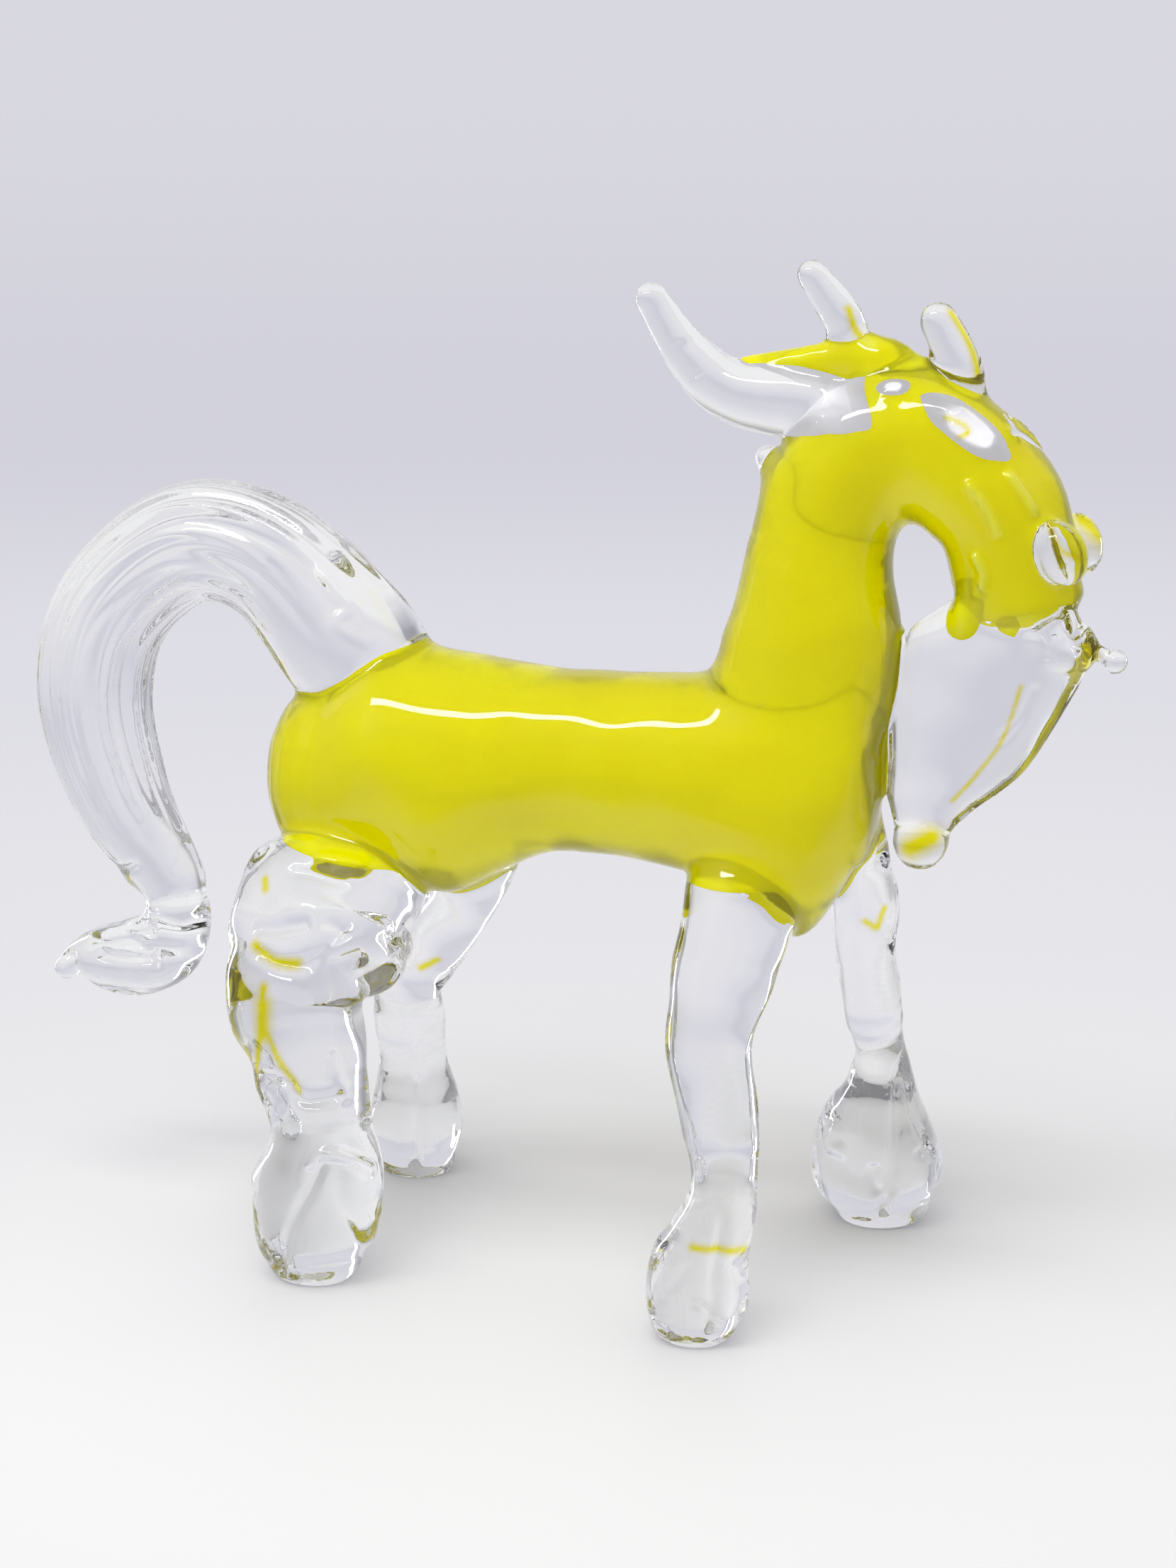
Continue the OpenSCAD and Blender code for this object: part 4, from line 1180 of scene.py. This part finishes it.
# Soft studio: a pale table below, a grey-lilac backdrop above, and dim panels that draw the glass's edges
studio = {
    "tones": [
        (-0.42, (0.90, 0.90, 0.90)),
        (-0.345, (0.79, 0.785, 0.805)),
        (-0.31, (0.815, 0.81, 0.835)),
        (-0.25, (0.79, 0.78, 0.82)),
        (-0.156, (0.735, 0.73, 0.79)),
        (-0.066, (0.645, 0.64, 0.715)),
        (0.07, (0.69, 0.685, 0.745)),
        (0.60, (0.86, 0.86, 0.88)),
    ],
    "turn": 20,                     # the panels stand square to this view
    "sideEdge": (0.72, 0.92),       # left and right
    "sideDim": 0.45,
    "frontEdge": (0.35, 0.75),      # behind the camera, only in what the skin mirrors
    "frontDim": 0.3,
    "topEdge": (0.45, 0.85),        # overhead
    "topDim": 0.4,
}


def lightStudio():
    world = bpy.data.worlds.new("studio")
    scene.world = world
    world.use_nodes = True
    nodes, links = world.node_tree.nodes, world.node_tree.links
    back = nodes["Background"]
    place = nodes.new("ShaderNodeTexCoord")
    split = nodes.new("ShaderNodeSeparateXYZ")
    links.new(place.outputs["Generated"], split.inputs["Vector"])
    height = nodes.new("ShaderNodeMapRange")
    height.inputs["From Min"].default_value = -1.0
    height.inputs["From Max"].default_value = 1.0
    links.new(split.outputs["Z"], height.inputs["Value"])
    tones = nodes.new("ShaderNodeValToRGB")
    ramp = tones.color_ramp
    ramp.interpolation = "EASE"
    while len(ramp.elements) < len(studio["tones"]):
        ramp.elements.new(0.5)
    for stop, (level, tone) in zip(ramp.elements, studio["tones"]):
        stop.position = (level + 1) / 2
        stop.color = (*tone, 1)
    links.new(height.outputs["Result"], tones.inputs["Fac"])

    def combine(operation, a, b):
        result = nodes.new("ShaderNodeMath")
        result.operation = operation
        links.new(a, result.inputs[0])
        links.new(b, result.inputs[1])
        return result.outputs["Value"]

    def dimTowards(way, edge, dim):
        # 1 away from a direction, dim towards it
        facing = nodes.new("ShaderNodeVectorMath")
        facing.operation = "DOT_PRODUCT"
        facing.inputs[1].default_value = way
        links.new(place.outputs["Generated"], facing.inputs[0])
        return softStep(world.node_tree, facing.outputs["Value"], edge, (1.0, dim))

    turn = math.radians(studio["turn"])
    right = Vector((math.cos(turn), math.sin(turn), 0))
    front = Vector((math.sin(turn), -math.cos(turn), 0))
    sides = combine("MULTIPLY", dimTowards(right, studio["sideEdge"], studio["sideDim"]),
                    dimTowards(-right, studio["sideEdge"], studio["sideDim"]))
    # the front panel isn't seen through the glass, and the backdrop itself has no panels
    path = nodes.new("ShaderNodeLightPath")
    mirrored = combine("MAXIMUM", dimTowards(front, studio["frontEdge"], studio["frontDim"]),
                       path.outputs["Is Transmission Ray"])
    ends = combine("MULTIPLY", mirrored, dimTowards((0, 0, 1), studio["topEdge"], studio["topDim"]))
    panels = combine("MULTIPLY", sides, ends)
    links.new(tones.outputs["Color"], back.inputs["Color"])
    links.new(combine("MAXIMUM", panels, path.outputs["Is Camera Ray"]), back.inputs["Strength"])


lightStudio()

# A long strip and a window that draw the white lines along the glass, and soft lamps overhead and in front.
# A mirrored lamp is seen in the glass, and one for edges only lights the edge-lit pieces alone.
lamps = {
    "window": {"at": (-0.26, 0.10, 0.03), "aim": (0, 0, 0.02), "size": (0.025, 0.16), "watts": 0.25,
               "mirrored": True, "edgesOnly": True},
    "strip": {"at": (-0.095, -0.165, 0.265), "aim": (-0.095, 0, 0.035), "size": (0.20, 0.03), "watts": 0.30,
              "mirrored": True, "edgesOnly": False},
    "overhead": {"at": (0.0, -0.12, 0.42), "aim": (0, 0, 0), "size": (0.2, 0.2), "watts": 0.64,
                 "mirrored": False, "edgesOnly": False},
    "fill": {"at": (0.06, -0.30, 0.12), "aim": (0.01, 0, 0.035), "size": (0.25, 0.25), "watts": 0.42,
             "mirrored": False, "edgesOnly": False},
}


def hangLamps():
    for name, lamp in lamps.items():
        light = bpy.data.lights.new(name, "AREA")
        light.shape = "RECTANGLE"
        light.size, light.size_y = lamp["size"]
        light.energy = lamp["watts"]
        holder = bpy.data.objects.new(name, light)
        scene.collection.objects.link(holder)
        holder.location = lamp["at"]
        aim = Vector(lamp["aim"]) - holder.location
        holder.rotation_euler = aim.to_track_quat("-Z", "Y").to_euler()
        holder.visible_glossy = lamp["mirrored"]
        holder.visible_transmission = lamp["edgesOnly"]
        if lamp["edgesOnly"]:
            holder.light_linking.receiver_collection = edgeLitPieces


hangLamps()

# The photograph's view
view = {
    "azimuth": 20,
    "elevation": 12,
    "distance": 0.170,
    "target": (0.0033, 0.0005, 0.033),
    "lens": 57,             # this and the sensor are in millimetres
    "sensor": 36,
    "nearest": 0.005,
}


def placeCamera():
    lens = bpy.data.cameras.new("camera")
    lens.lens = view["lens"]
    lens.sensor_width = view["sensor"]
    lens.clip_start = view["nearest"]
    camera = bpy.data.objects.new("camera", lens)
    scene.collection.objects.link(camera)
    turn, lift = math.radians(view["azimuth"]), math.radians(view["elevation"])
    away = Vector((math.sin(turn) * math.cos(lift), -math.cos(turn) * math.cos(lift), math.sin(lift)))
    target = Vector(view["target"])
    camera.location = target + away * view["distance"]
    camera.rotation_euler = (-away).to_track_quat("-Z", "Y").to_euler()
    scene.camera = camera


placeCamera()
scene.view_settings.view_transform = "Standard"
scene.cycles.max_bounces = 32
scene.cycles.transmission_bounces = 24
scene.cycles.glossy_bounces = 12
scene.cycles.transparent_max_bounces = 64
scene.cycles.caustics_refractive = False
scene.cycles.caustics_reflective = False
print("stage, light and camera set")
